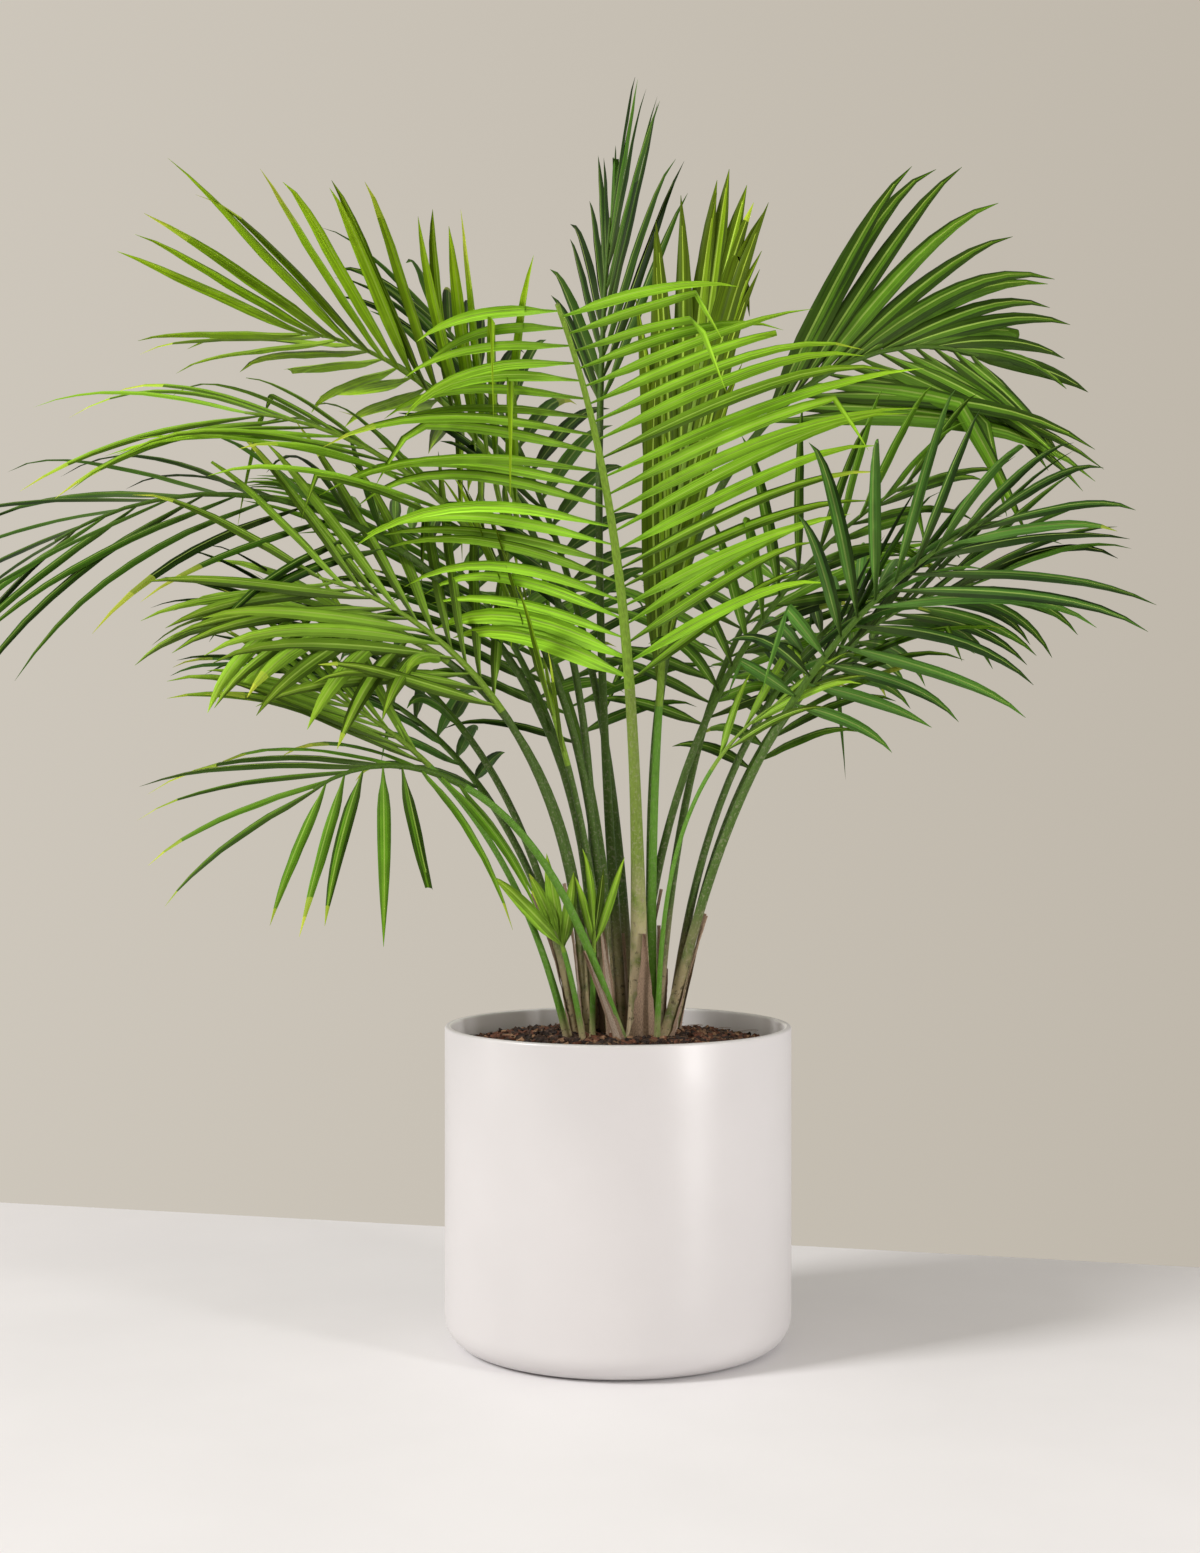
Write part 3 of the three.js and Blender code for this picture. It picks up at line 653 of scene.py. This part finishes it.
def make_chips(settings):
    """Bark chips and coir fibres that lie on the compost, in a few plain browns."""
    rng = random.Random(settings.seed)
    things = SmallThings()
    radius = settings.radius / MM
    for _ in range(settings.chips):
        points = chip_points(rng, radius - CHIP_MARGIN)
        shade = rng.choices(range(len(CHIP_WEIGHTS)), CHIP_WEIGHTS)[0]
        things.add(points, CHIP_FACES, np.full(len(CHIP_FACES), shade), np.zeros((len(points), 2)))
    for _ in range(settings.fibres):
        grid = fibre_grid(rng, radius - FIBRE_MARGIN)
        things.add_sheet(grid, np.full(FIBRE_POINTS - 1, COIR), np.zeros((FIBRE_POINTS, 2, 2)))
    mesh = things.to_mesh("bark_chips", "Chip")
    mesh.shade_flat()
    names = ("dark bark", "brown bark", "red bark", "tan bark", "coir")
    colours = (settings.bark_dark, settings.bark_brown, settings.bark_red, settings.bark_tan, settings.coir)
    add_piece("bark_chips", mesh, [], [bark(name, c) for name, c in zip(names, colours)])


STALK_SIDES = 12
# How far each side of a stalk stands from its middle: the upper side is channelled.
CHANNEL = np.array([1.0, 1.0, 0.9, 0.74, 0.9, 1.0, 1.0, 1.0, 1.0, 1.0, 1.0, 1.0])
# How deep a stalk's foot is sunk, how much it flares there and how fast that fades with height, and
# how soon the stalk narrows from its foot.
FOOT_DEPTH = 9
FOOT_FLARE = 0.22
FLARE_HEIGHT = 22
NARROWING = 2.2

# Material slots of the stalks and their ribs, and the stalks that stand in the light. The other stalks,
# inside the crown, take a darker green: painted shade.
FRONT_STALK, GREEN_STALK, STALK_IN_PAINTED_SHADE, PALE_RIB, DARK_RIB = range(5)
IN_THE_LIGHT = ("lower_left", "left_low", "right_thin", "seedling_left", "seedling_right", "young_fan")


def stalk_slots(frond):
    """The materials of a frond's stalk and of its rib."""
    if frond["name"] == "front":
        return FRONT_STALK, PALE_RIB
    stalk = GREEN_STALK if frond["name"] in IN_THE_LIGHT else STALK_IN_PAINTED_SHADE
    return stalk, PALE_RIB if frond["tone"] in ("bright", "backlit", "young") else DARK_RIB


def stalk_radius(frond, y, u):
    """A bare stalk's radius at a share y of its own length, which is a share u of the frond's."""
    flare = 1 + FOOT_FLARE * math.exp(-max(u, 0) * frond["length"] / FLARE_HEIGHT)
    return lerp(frond["foot_radius"], frond["neck"], 1 - (1 - y) ** NARROWING) * flare


def ring_round(station, radius):
    """The points of a stalk's section round a station, in metres."""
    point, _, up, side = station
    angles = np.arange(STALK_SIDES) * TURN / STALK_SIDES
    reach = radius * CHANNEL
    return (point + np.outer(np.cos(angles) * reach, side) + np.outer(np.sin(angles) * reach, up)) * MM


def stalk_rings(frond, settings):
    """The rings of a stalk and of the rib that runs on from it, each with its material."""
    line, bare = frond["line"], frond["bare"]
    stalk, rib = stalk_slots(frond)
    rings = []
    for y in np.linspace(0, 1, settings.stalk_rows + 1):
        u = lerp(-FOOT_DEPTH / frond["length"], bare, y)
        rings.append((ring_round(line.at(u), stalk_radius(frond, y, u)), stalk))
    for y in np.linspace(0, 1, settings.rib_rows + 1)[1:]:
        radius = frond["neck"] * lerp(1, RIB_TAPER, y)
        rings.append((ring_round(line.at(lerp(bare, 1, y)), radius), rib))
    return rings


def wrap_grid(bm, rings, uv):
    """Wraps a grid round a list of rings. Its seam is still open."""
    wide = STALK_SIDES + 1
    grid = bmesh.ops.create_grid(bm, x_segments=STALK_SIDES, y_segments=len(rings) - 1, size=1)["verts"]
    place_of = {vert: divmod(i, wide) for i, vert in enumerate(grid)}
    for vert, (row, column) in place_of.items():
        vert.co = rings[row][0][column % STALK_SIDES]
    for face in {face for vert in grid for face in vert.link_faces}:
        for loop in face.loops:
            row, column = place_of[loop.vert]
            loop[uv].uv = (column / STALK_SIDES, row)
        upper = max(place_of[vert][0] for vert in face.verts)
        face.material_index = rings[upper][1]


def make_stalks(settings):
    """Each stalk with the rib of its blade, channelled above and stouter at the foot."""
    bm = bmesh.new()
    uv = bm.loops.layers.uv.new("Stalk")
    for frond in grown():
        wrap_grid(bm, stalk_rings(frond, settings), uv)
    bmesh.ops.remove_doubles(bm, verts=bm.verts[:], dist=1e-7)
    bmesh.ops.edgeloop_fill(bm, edges=[edge for edge in bm.edges if edge.is_boundary], mat_nr=0)
    bmesh.ops.recalc_face_normals(bm, faces=bm.faces[:])
    nodes = ["stalk_" + frond["name"] for frond in FRONDS]
    foot, scurf = settings.foot_brown, settings.scurf
    skins = [
        stalk_skin("front stalk", settings.front_green, settings.front_foot, 0.42, scurf, 0.45),
        stalk_skin("green stalk", settings.green, foot, 0.29, scurf, 0.15),
        # Darker green of the stalks inside the crown: painted shade.
        stalk_skin("shaded stalk", settings.shaded_green, foot, 0.38, scurf, 0.35),
        rib_skin("pale rib", settings.rib_green),
        rib_skin("dark rib", settings.rib_dark),
    ]
    add_piece("stalks", mesh_from_bmesh("stalks", bm), nodes, skins)


SHEATH_ROWS = 18
SHEATH_COLUMNS = 9
# The thinnest foot that still has a sheath, and how wide a strip of each sheath's edge is brown.
SHEATHED_FROM = 4.5
BROWN_EDGE = 1.6


def outer_side(line):
    """The direction round a stalk's foot that faces out of the clump, a little to the front."""
    _, _, up, side = line.at(0)
    outward = unit(line.points[0] * (1, 1, 0) + (0, -20, 0))
    return math.atan2(up @ outward, side @ outward)


def sheath_grid(frond, height, faces_to, rng):
    """A sheath's points: it hugs the stalk, stands off at its ragged edges and narrows to a point."""
    across = np.linspace(-1, 1, SHEATH_COLUMNS + 1)
    grid = []
    for t in np.linspace(0, 1, SHEATH_ROWS + 1):
        u = lerp(-4, height, t) / frond["length"]
        point, _, up, side = frond["line"].at(u)
        span = lerp(1.3, 0.12, t**0.8) * (1 + 0.12 * rng.uniform(-1, 1))
        ragged = 0.4 * np.array([rng.random() for _ in across])
        edges_off = 2.2 * np.abs(across) ** 3 * (0.3 + t)
        stand = stalk_radius(frond, u / frond["bare"], u) + 0.5 + edges_off + ragged
        angle = faces_to + across * span
        grid.append(point + np.outer(np.cos(angle) * stand, side) + np.outer(np.sin(angle) * stand, up))
    return np.array(grid)


def make_sheaths(settings):
    """Dry brown sheaths that hug the feet of the stouter stalks and end in ragged points."""
    rng = random.Random(settings.seed)
    things = SmallThings()
    from_middle = np.abs(np.arange(SHEATH_COLUMNS) - (SHEATH_COLUMNS - 1) / 2)
    at_edge = from_middle > SHEATH_COLUMNS / 2 - BROWN_EDGE
    across, along = np.meshgrid(np.linspace(0, 1, SHEATH_COLUMNS + 1), np.arange(SHEATH_ROWS + 1))
    for frond in grown():
        if frond["foot_radius"] >= SHEATHED_FROM:
            height = rng.uniform(50, 140)
            faces_to = outer_side(frond["line"]) + rng.uniform(-0.8, 0.8)
            slots = np.tile(np.where(at_edge, 1, rng.randrange(2)), SHEATH_ROWS)
            grid = sheath_grid(frond, height, faces_to, rng)
            things.add_sheet(grid, slots, np.stack([across, along], -1))
    pale = dry_sheath("pale sheath", settings.sheath_pale)
    brown = dry_sheath("brown sheath", settings.sheath_brown)
    add_piece("dry_sheaths", things.to_mesh("dry_sheaths", "Sheath"), [], [pale, brown])


# The backlit green is paler, painted light for light shining through those fronds; the deep green is darker,
# painted shade for fronds in the crown's shade.
TONES = ("bright", "backlit", "young", "mid", "deep", "bluish")
# Material slots of a tone's leaflets: its greens from dark to pale, as shares of the tone, then the
# midrib, and two steps towards a yellowing tip.
# Besides random variation, the darker and paler greens carry painted shade and light, across each leaflet
# and from frond to frond.
GREENS = (0.26, 0.72, 1.1, 1.36)
MIDRIB, NEAR_TIP, TIP = range(len(GREENS), len(GREENS) + 3)
# How many leaflets take each green, usually and on fronds that differ. Partly random, and partly painted
# light and shade: fronds in shade lean to the darker greens, fronds in the light to the paler ones.
USUAL_SHADES = (1, 4, 4, 1)
SHADES = {
    "front": (0, 2, 6, 2), "young_fan": (1, 0, 0, 0), "top_centre": (5, 4, 1, 0), "upper_left": (0, 2, 6, 2),
    "upper_right": (9, 3, 0, 0), "left_middle": (0, 3, 4, 1), "inner_left": (0, 4, 4, 0),
}
# How many leaflets in ten yellow at the tip, usually and on fronds that differ.
USUAL_YELLOWING = 1
YELLOWING = {
    "lower_left": 8, "left_low": 6, "far_left": 4, "right_front": 2, "left_bright": 3, "upper_left": 3,
    "upper_right": 0, "top_centre": 0,
}


def leaflet_line(frond, plan, rng, settings):
    """A leaflet's midline: each row's share of the length, its point, and the ways up and across there."""
    cut = rng.uniform(0.72, 0.9) if rng.random() < settings.cut_share else 1.0
    w = np.linspace(0, cut, LEAFLET_STEPS + 1)[:, None]
    point, along, up, side = frond["line"].at(plan["at"])
    splay, lift = math.radians(plan["splay"]), math.radians(plan["lift"])
    outward = side * plan["hand"] * math.cos(lift) + up * math.sin(lift)
    start = along * math.cos(splay) + outward * math.sin(splay)
    sway = np.cross(start, up) * rng.uniform(-1, 1) * settings.sway
    curl = rng.uniform(0.2, 1.0) * settings.tip_curl
    kink_at = rng.uniform(0.45, 0.8)
    kink = rng.uniform(1.0, 3.5) if rng.random() < settings.kink_share else 0.0

    def heading(x):
        fall = plan["droop"] * x**LEAFLET_BEND + curl * x**6
        fall += kink * smooth((x - kink_at) / KINK_LENGTH)
        return unit(start + DOWN * fall + sway * x**2)

    steps = heading((w[1:] + w[:-1]) / 2) * plan["length"] * cut / LEAFLET_STEPS
    points = point + np.vstack([np.zeros(3), np.cumsum(steps, axis=0)])
    along = heading(w)
    up = unit(up - along * (along @ up)[:, None])
    return w, points, up, np.cross(along, up)


def leaflet_grid(frond, plan, rng, settings):
    """A leaflet's points, rows by columns: folded at its foot, then open, with a long fine tip."""
    w, points, up, side = leaflet_line(frond, plan, rng, settings)
    twist = np.radians(rng.gauss(0, settings.twist) + rng.gauss(0, 2 * settings.twist) * w**2)
    side, up = side * np.cos(twist) + up * np.sin(twist), up * np.cos(twist) - side * np.sin(twist)
    fold = np.radians(lerp(settings.foot_fold, settings.fold, smooth(w / OPENING)))
    half = np.interp(w, np.linspace(0, 1, LEAFLET_STEPS + 1), OUTLINE) * plan["width"] / 2
    sideways = ACROSS * half * np.cos(fold)
    upwards = PLEAT * half - np.abs(ACROSS) * half * np.sin(fold)
    wave = np.sin(w * rng.uniform(14, 26) + rng.uniform(0, TURN))
    upwards += RIPPLE * half * wave * np.abs(ACROSS)
    return points[:, None] + sideways[..., None] * side[:, None] + upwards[..., None] * up[:, None], w


def leaflet_slots(rng, weights, yellowing):
    """Which colour each quad of a leaflet gets: a green, its margins darker and the strip past its midrib
    paler, as painted shade and light across its fold, then a midrib and a tip.
    """
    shade = rng.choices(range(len(GREENS)), weights)[0]
    slots = np.full((LEAFLET_STEPS, len(ACROSS) - 1), shade)
    # Painted shade and light across the folded leaflet: one margin darker, the strip past the midrib paler,
    # the far margin darker or the same.
    slots[:, 0] = max(shade - 1, 0)
    slots[:, 3:] = min(shade + rng.choice((0, 1)), len(GREENS) - 1)
    slots[:, -1] = max(shade - rng.choice((0, 1)), 0)
    if rng.randrange(10) < yellowing:
        first = LEAFLET_STEPS - rng.choice((3, 2, 2, 1))
        slots[first:] = NEAR_TIP
        slots[first + 1:] = TIP
    slots[:-1, MIDRIB_STRIP] = MIDRIB
    return slots


# A leaflet's cell on the map for baking: how many times as high as wide, and its margins.
CELL_HEIGHT = 9
CELL_SIDE = 0.06
CELL_END = 0.01


def bake_cells(mesh, count):
    """A second map, for baking: each leaflet has an upright cell of its own."""
    columns = math.ceil(math.sqrt(count * CELL_HEIGHT))
    rows = math.ceil(count / columns)
    leaf = np.zeros(len(mesh.loops) * 2, np.float32)
    mesh.uv_layers["Leaf"].data.foreach_get("uv", leaf)
    across, along = leaf.reshape(-1, 2).T
    owner = np.zeros(len(mesh.loops), np.int32)
    mesh.loops.foreach_get("vertex_index", owner)
    owner //= len(OUTLINE) * len(ACROSS)
    u = (owner % columns + lerp(CELL_SIDE, 1 - CELL_SIDE, across)) / columns
    v = (owner // columns + lerp(CELL_END, 1 - CELL_END, along - owner)) / rows
    cells = np.stack([u, v], 1).astype(np.float32)
    mesh.uv_layers.new(name="OFBake").data.foreach_set("uv", cells.ravel())


def leaf_skins(tone, settings):
    """The materials of a tone's leaflets, in the order of their slots."""
    green = getattr(settings, tone)[:3]
    shades = [shade_of(green, share) for share in GREENS]
    skins = [leaf_skin(f"{tone} green {i}", shade) for i, shade in enumerate(shades, start=1)]
    skins.append(leaf_skin(f"{tone} midrib", mixed(green, settings.midrib, 0.3)))
    skins.append(leaf_skin(f"{tone} near tip", mixed(green, settings.tip, 0.4)))
    skins.append(leaf_skin(f"{tone} tip", mixed(green, settings.tip, 0.75)))
    return skins


def make_fronds(settings):
    """The leaflets of every frond, joined by tone, so that each tone has its own plain greens."""
    across = 0.5 + 0.5 * ACROSS * OUTLINE[:, None]
    for tone in TONES:
        things = SmallThings()
        number = 0
        fronds = [frond for frond in grown() if frond["tone"] == tone]
        for frond in fronds:
            rng = random.Random(frond["seed"])
            weights = SHADES.get(frond["name"], USUAL_SHADES)
            yellowing = YELLOWING.get(frond["name"], USUAL_YELLOWING)
            for plan in leaflet_plans(frond):
                grid, w = leaflet_grid(frond, plan, rng, settings)
                places = np.stack([across, number + w + 0 * across], -1)
                things.add_sheet(grid, leaflet_slots(rng, weights, yellowing), places)
                number += 1
        name = "leaflets_" + tone
        mesh = things.to_mesh(name, "Leaf")
        bake_cells(mesh, number)
        nodes = ["frond_" + frond["name"] for frond in fronds]
        add_piece(name, mesh, nodes, leaf_skins(tone, settings))


# The stage


FLOOR_SIZE = (6.0, 3.0, 0.04)


def make_floor(settings):
    """A plain pale floor that ends behind the pot, a little turned."""
    bm = bmesh.new()
    bmesh.ops.create_cube(bm, size=1)
    bmesh.ops.scale(bm, vec=FLOOR_SIZE, verts=bm.verts[:])
    bmesh.ops.bevel(bm, geom=bm.edges[:], offset=0.004, affect="EDGES", segments=3, profile=0.5, material=-1)
    bmesh.ops.translate(bm, vec=(0, -FLOOR_SIZE[1] / 2, -FLOOR_SIZE[2] / 2), verts=bm.verts[:])
    turn = Matrix.Rotation(math.radians(settings.floor_turn), 3, "Z")
    bmesh.ops.rotate(bm, cent=(0, 0, 0), matrix=turn, verts=bm.verts[:])
    bmesh.ops.translate(bm, vec=(0, settings.floor_back, 0), verts=bm.verts[:])
    floor = in_scene("floor", mesh_from_bmesh("floor", bm))
    floor.data.shade_flat()
    finish = Finish("pale floor", settings.floor_colour, 0.6)
    finish.tint(finish.noise(finish.place(), 5, 3), shade_of(settings.floor_colour, 0.97))
    floor.data.materials.append(finish.material)


def make_surround(settings):
    """The plain wall colour behind, darker to the right as painted shade away from the light on the left,
    and a soft light of its own, paler at the sides.
    """
    world = bpy.data.worlds.new("surround")
    world.use_nodes = True
    tree = world.node_tree
    aside = add_node(tree, "SeparateXYZ", "X", Vector=add_node(tree, "TexCoord", "Generated"))
    share = add_node(tree, "MapRange", "Result", Value=aside, From_Min=-1)
    wall = add_node(tree, "ValToRGB", "Color", Fac=share)
    stops = wall.node.color_ramp.elements
    stops[0].color, stops[1].color = settings.wall_sides, settings.wall_sides
    # The wall that the camera sees runs from the left colour to the right one: painted shade, darker away
    # from the key light.
    stops.new(0.365).color = settings.wall_left
    stops.new(0.635).color = settings.wall_right
    seen = add_node(tree, "LightPath", "Is Camera Ray")
    strength = add_node(tree, "MapRange", "Result", Value=seen, To_Min=settings.surround_light)
    background = tree.nodes["Background"]
    tree.links.new(wall, background.inputs["Color"])
    tree.links.new(strength, background.inputs["Strength"])
    bpy.context.scene.world = world


def add_light(name, place, target, size, power, colour):
    """A soft rectangular light at a place, looking at a target."""
    data = bpy.data.lights.new(name, "AREA")
    data.shape = "RECTANGLE"
    data.size, data.size_y = size
    data.energy = power
    data.color = colour
    light = in_scene(name, data)
    light.location = place
    light.rotation_euler = (Vector(target) - Vector(place)).to_track_quat("-Z", "Y").to_euler()


def make_camera(settings):
    """The camera, level, in front of the palm."""
    data = bpy.data.cameras.new("camera")
    data.lens = settings.lens
    data.sensor_width = 36
    camera = in_scene("camera", data)
    camera.location = settings.camera
    camera.rotation_euler = (math.pi / 2, 0, 0)
    bpy.context.scene.camera = camera


def make_stage(settings):
    """Floor, surround, soft light from the left, a narrow light from the front right, and the camera."""
    make_floor(settings)
    make_surround(settings)
    bpy.context.scene.view_settings.view_transform = "Standard"
    add_light("key", (-3.9, -2.0, 3.1), (0, 0, 0.6), (1.1, 1.8), settings.key_power, (1.0, 0.985, 0.97))
    add_light("strip", (1.8, -1.57, 0.6), (0, 0, 0.3), (0.3, 1.4), settings.strip_power, (1.0, 0.98, 0.975))
    make_camera(settings)


# What a user may change


def a_length(name, description, default):
    return bpy.props.FloatProperty(name=name, description=description, default=default, unit="LENGTH", min=0)


def an_angle(name, description, default):
    return bpy.props.FloatProperty(name=name, description=description, default=default, min=-180, max=180)


def a_number(name, description, default):
    return bpy.props.FloatProperty(name=name, description=description, default=default, min=0)


def a_count(name, description, default):
    return bpy.props.IntProperty(name=name, description=description, default=default, min=1)


def a_colour(name, description, default):
    return bpy.props.FloatVectorProperty(name=name, description=description, default=(*default, 1.0), size=4,
                                         subtype="COLOR", min=0, max=1)


class PALM_PG_pot(bpy.types.PropertyGroup):
    """The planter."""

    radius: a_length("Radius", "Outside radius of the pot", 0.150)
    height: a_length("Height", "Height of the rim above the floor", 0.2735)
    corner: a_length("Foot rounding", "Radius of the rounded foot", 0.025)
    wall: a_length("Wall", "Thickness of the wall", 0.006)
    floor: a_length("Floor", "Thickness of the pot's floor", 0.009)
    lip: a_length("Lip", "Rounding of the rim's edges", 0.0022)
    colour: a_colour("Glaze", "Colour of the glaze", (0.59, 0.567, 0.565))
    # The inner glaze is paler than the outer one: painted light for the inside of the pot.
    inner_painted_light_colour: a_colour("Inner glaze", "Colour of the glaze inside", (0.86, 0.83, 0.82))


class PALM_PG_soil(bpy.types.PropertyGroup):
    """The compost and what lies on it."""

    radius: a_length("Radius", "Radius of the compost", 0.1433)
    clods: a_length("Clods", "Height of the clods in the compost", 0.0022)
    chips: a_count("Chips", "Number of bark chips", 2600)
    fibres: a_count("Fibres", "Number of coir fibres", 260)
    seed: a_count("Seed", "Seed of the chips' places", 7)
    dark_colour: a_colour("Dark", "Colour of the moist compost", (0.022, 0.012, 0.008))
    light_colour: a_colour("Light", "Colour of the compost's crumbs", (0.085, 0.045, 0.028))
    bark_dark: a_colour("Dark bark", "Colour of the darkest chips", (0.03, 0.015, 0.01))
    bark_brown: a_colour("Brown bark", "Colour of the brown chips", (0.07, 0.036, 0.022))
    bark_red: a_colour("Red bark", "Colour of the reddish chips", (0.17, 0.06, 0.03))
    bark_tan: a_colour("Tan bark", "Colour of the palest chips", (0.34, 0.19, 0.1))
    coir: a_colour("Coir", "Colour of the fibres", (0.22, 0.12, 0.06))


class PALM_PG_stalks(bpy.types.PropertyGroup):
    """The stalks, the ribs and the dry sheaths."""

    stalk_rows: a_count("Stalk rows", "Rows of faces along a stalk", 36)
    rib_rows: a_count("Rib rows", "Rows of faces along a rib", 24)
    seed: a_count("Seed", "Seed of the sheaths", 11)
    front_green: a_colour("Front stalk", "Colour of the front stalk", (0.13, 0.185, 0.03))
    green: a_colour("Green", "Colour of the stalks in the light", (0.085, 0.2, 0.02))
    # The stalks inside the crown are painted darker: painted shade.
    shaded_green: a_colour("Shaded green", "Colour of the inner stalks", (0.055, 0.1, 0.018))
    rib_green: a_colour("Pale rib", "Colour of the bright blades' ribs", (0.2, 0.33, 0.035))
    rib_dark: a_colour("Dark rib", "Colour of the other blades' ribs", (0.07, 0.14, 0.015))
    front_foot: a_colour("Front foot", "Colour of the front stalk's foot", (0.55, 0.44, 0.28))
    foot_brown: a_colour("Foot", "Colour of the stalks' feet", (0.34, 0.27, 0.15))
    scurf: a_colour("Scurf", "Colour of the pale scurf on the stalks", (0.4, 0.35, 0.26))
    sheath_pale: a_colour("Pale sheath", "Colour of the paler dry sheaths", (0.6, 0.47, 0.36))
    sheath_brown: a_colour("Brown sheath", "Colour of the sheaths' brown edges", (0.4, 0.27, 0.18))


class PALM_PG_fronds(bpy.types.PropertyGroup):
    """The leaflets."""

    foot_fold: an_angle("Foot fold", "Fold of each half of a leaflet at its foot, in degrees", 68)
    fold: an_angle("Fold", "Fold of each half of an open leaflet, in degrees", 24)
    twist: an_angle("Twist", "Usual twist of a leaflet, in degrees", 7)
    sway: a_number("Sway", "How far leaflets bend sideways", 0.16)
    tip_curl: a_number("Tip curl", "How far the tips bend down", 0.5)
    kink_share: a_number("Kinks", "Share of leaflets that are kinked and hang", 0.05)
    cut_share: a_number("Cut tips", "Share of leaflets whose tip is broken off", 0.03)
    bright: a_colour("Bright", "Green of the front fronds", (0.215, 0.43, 0.02))
    # Paler than the fronds' own green: painted light shining through them.
    backlit: a_colour("Backlit", "Yellow-green of the fronds with the light behind them", (0.23, 0.4, 0.01))
    young: a_colour("Young", "Yellow-green of the young fronds", (0.18, 0.33, 0.024))
    mid: a_colour("Middle", "Green of most fronds", (0.085, 0.2, 0.01))
    # Darker than the fronds' own green: painted shade.
    deep: a_colour("Deep", "Deep green of the shaded fronds", (0.035, 0.095, 0.005))
    bluish: a_colour("Bluish", "Cooler green of the right-hand fronds", (0.055, 0.145, 0.018))
    tip: a_colour("Tips", "Yellow-green of the tips", (0.42, 0.5, 0.06))
    midrib: a_colour("Midrib", "Colour that the midribs are paler by", (0.5, 0.6, 0.16))


class PALM_PG_stage(bpy.types.PropertyGroup):
    """Floor, light and camera."""

    floor_colour: a_colour("Floor", "Colour of the floor", (0.8, 0.785, 0.795))
    floor_back: a_length("Floor's edge", "How far behind the pot the floor ends", 0.43)
    floor_turn: an_angle("Floor's turn", "How far the floor is turned, in degrees", -14.4)
    wall_left: a_colour("Wall, left", "Colour of the surround on the left", (0.61, 0.565, 0.495))
    # The wall's right colour is darker than its left: painted shade.
    wall_right: a_colour("Wall, right", "Colour of the surround on the right", (0.525, 0.48, 0.41))
    wall_sides: a_colour("Wall, sides", "Colour of the surround at the far sides", (1.0, 0.985, 0.965))
    surround_light: a_number("Surround's light", "How strongly the surround lights the plant", 0.76)
    key_power: a_number("Key", "Power of the light from the left, in watts", 230)
    strip_power: a_number("Strip light", "Power of the narrow light from the front right, in watts", 30)
    lens: a_number("Lens", "Focal length, in millimetres", 50.4)
    camera: bpy.props.FloatVectorProperty(name="Camera", description="Place of the camera", unit="LENGTH",
                                          subtype="XYZ", default=(-0.0156, -1.887, 0.4885))


# Operators: each makes one piece, or one group of like pieces


class MakesPieces:
    """What the operators share: each calls its own function with its own settings."""

    bl_options = {"REGISTER", "UNDO"}

    def execute(self, context):
        self.make(getattr(context.scene, self.settings))
        return {"FINISHED"}


class PALM_OT_stage(MakesPieces, bpy.types.Operator):
    """Set up the floor, the light and the camera"""

    bl_idname = "palm.stage"
    bl_label = "Stage"
    settings = "palm_stage"
    make = staticmethod(make_stage)


class PALM_OT_pot(MakesPieces, bpy.types.Operator):
    """Make the glazed pot"""

    bl_idname = "palm.pot"
    bl_label = "Pot"
    settings = "palm_pot"
    make = staticmethod(make_pot)


class PALM_OT_soil(MakesPieces, bpy.types.Operator):
    """Make the compost in the pot"""

    bl_idname = "palm.soil"
    bl_label = "Compost"
    settings = "palm_soil"
    make = staticmethod(make_soil)


class PALM_OT_chips(MakesPieces, bpy.types.Operator):
    """Strew bark chips and coir over the compost"""

    bl_idname = "palm.chips"
    bl_label = "Bark chips"
    settings = "palm_soil"
    make = staticmethod(make_chips)


class PALM_OT_stalks(MakesPieces, bpy.types.Operator):
    """Make the stalks and the ribs of the blades"""

    bl_idname = "palm.stalks"
    bl_label = "Stalks"
    settings = "palm_stalks"
    make = staticmethod(make_stalks)


class PALM_OT_sheaths(MakesPieces, bpy.types.Operator):
    """Wrap dry sheaths round the stalks' feet"""

    bl_idname = "palm.sheaths"
    bl_label = "Dry sheaths"
    settings = "palm_stalks"
    make = staticmethod(make_sheaths)


class PALM_OT_fronds(MakesPieces, bpy.types.Operator):
    """Grow the leaflets of every frond"""

    bl_idname = "palm.fronds"
    bl_label = "Leaflets"
    settings = "palm_fronds"
    make = staticmethod(make_fronds)


OPERATORS = (
    PALM_OT_stage, PALM_OT_pot, PALM_OT_soil, PALM_OT_chips, PALM_OT_stalks, PALM_OT_sheaths, PALM_OT_fronds,
)
GROUPS = {
    "palm_pot": PALM_PG_pot,
    "palm_soil": PALM_PG_soil,
    "palm_stalks": PALM_PG_stalks,
    "palm_fronds": PALM_PG_fronds,
    "palm_stage": PALM_PG_stage,
}


class PALM_PT_sidebar(bpy.types.Panel):
    """The palm's pieces and their settings"""

    bl_label = "Potted palm"
    bl_idname = "PALM_PT_sidebar"
    bl_space_type = "VIEW_3D"
    bl_region_type = "UI"
    bl_category = "Palm"

    def draw(self, context):
        for operator in OPERATORS:
            self.layout.operator(operator.bl_idname)
        for name, group in GROUPS.items():
            box = self.layout.box()
            box.label(text=group.__doc__)
            for key in group.__annotations__:
                box.prop(getattr(context.scene, name), key)


def register():
    for cls in (*GROUPS.values(), *OPERATORS, PALM_PT_sidebar):
        bpy.utils.register_class(cls)
    for name, group in GROUPS.items():
        setattr(bpy.types.Scene, name, bpy.props.PointerProperty(type=group))


def unregister():
    for name in GROUPS:
        delattr(bpy.types.Scene, name)
    for cls in (PALM_PT_sidebar, *reversed(OPERATORS), *reversed(GROUPS.values())):
        bpy.utils.unregister_class(cls)


def main():
    register()
    for operator in OPERATORS:
        group, _, name = operator.bl_idname.partition(".")
        getattr(getattr(bpy.ops, group), name)()


if __name__ == "__main__":
    main()
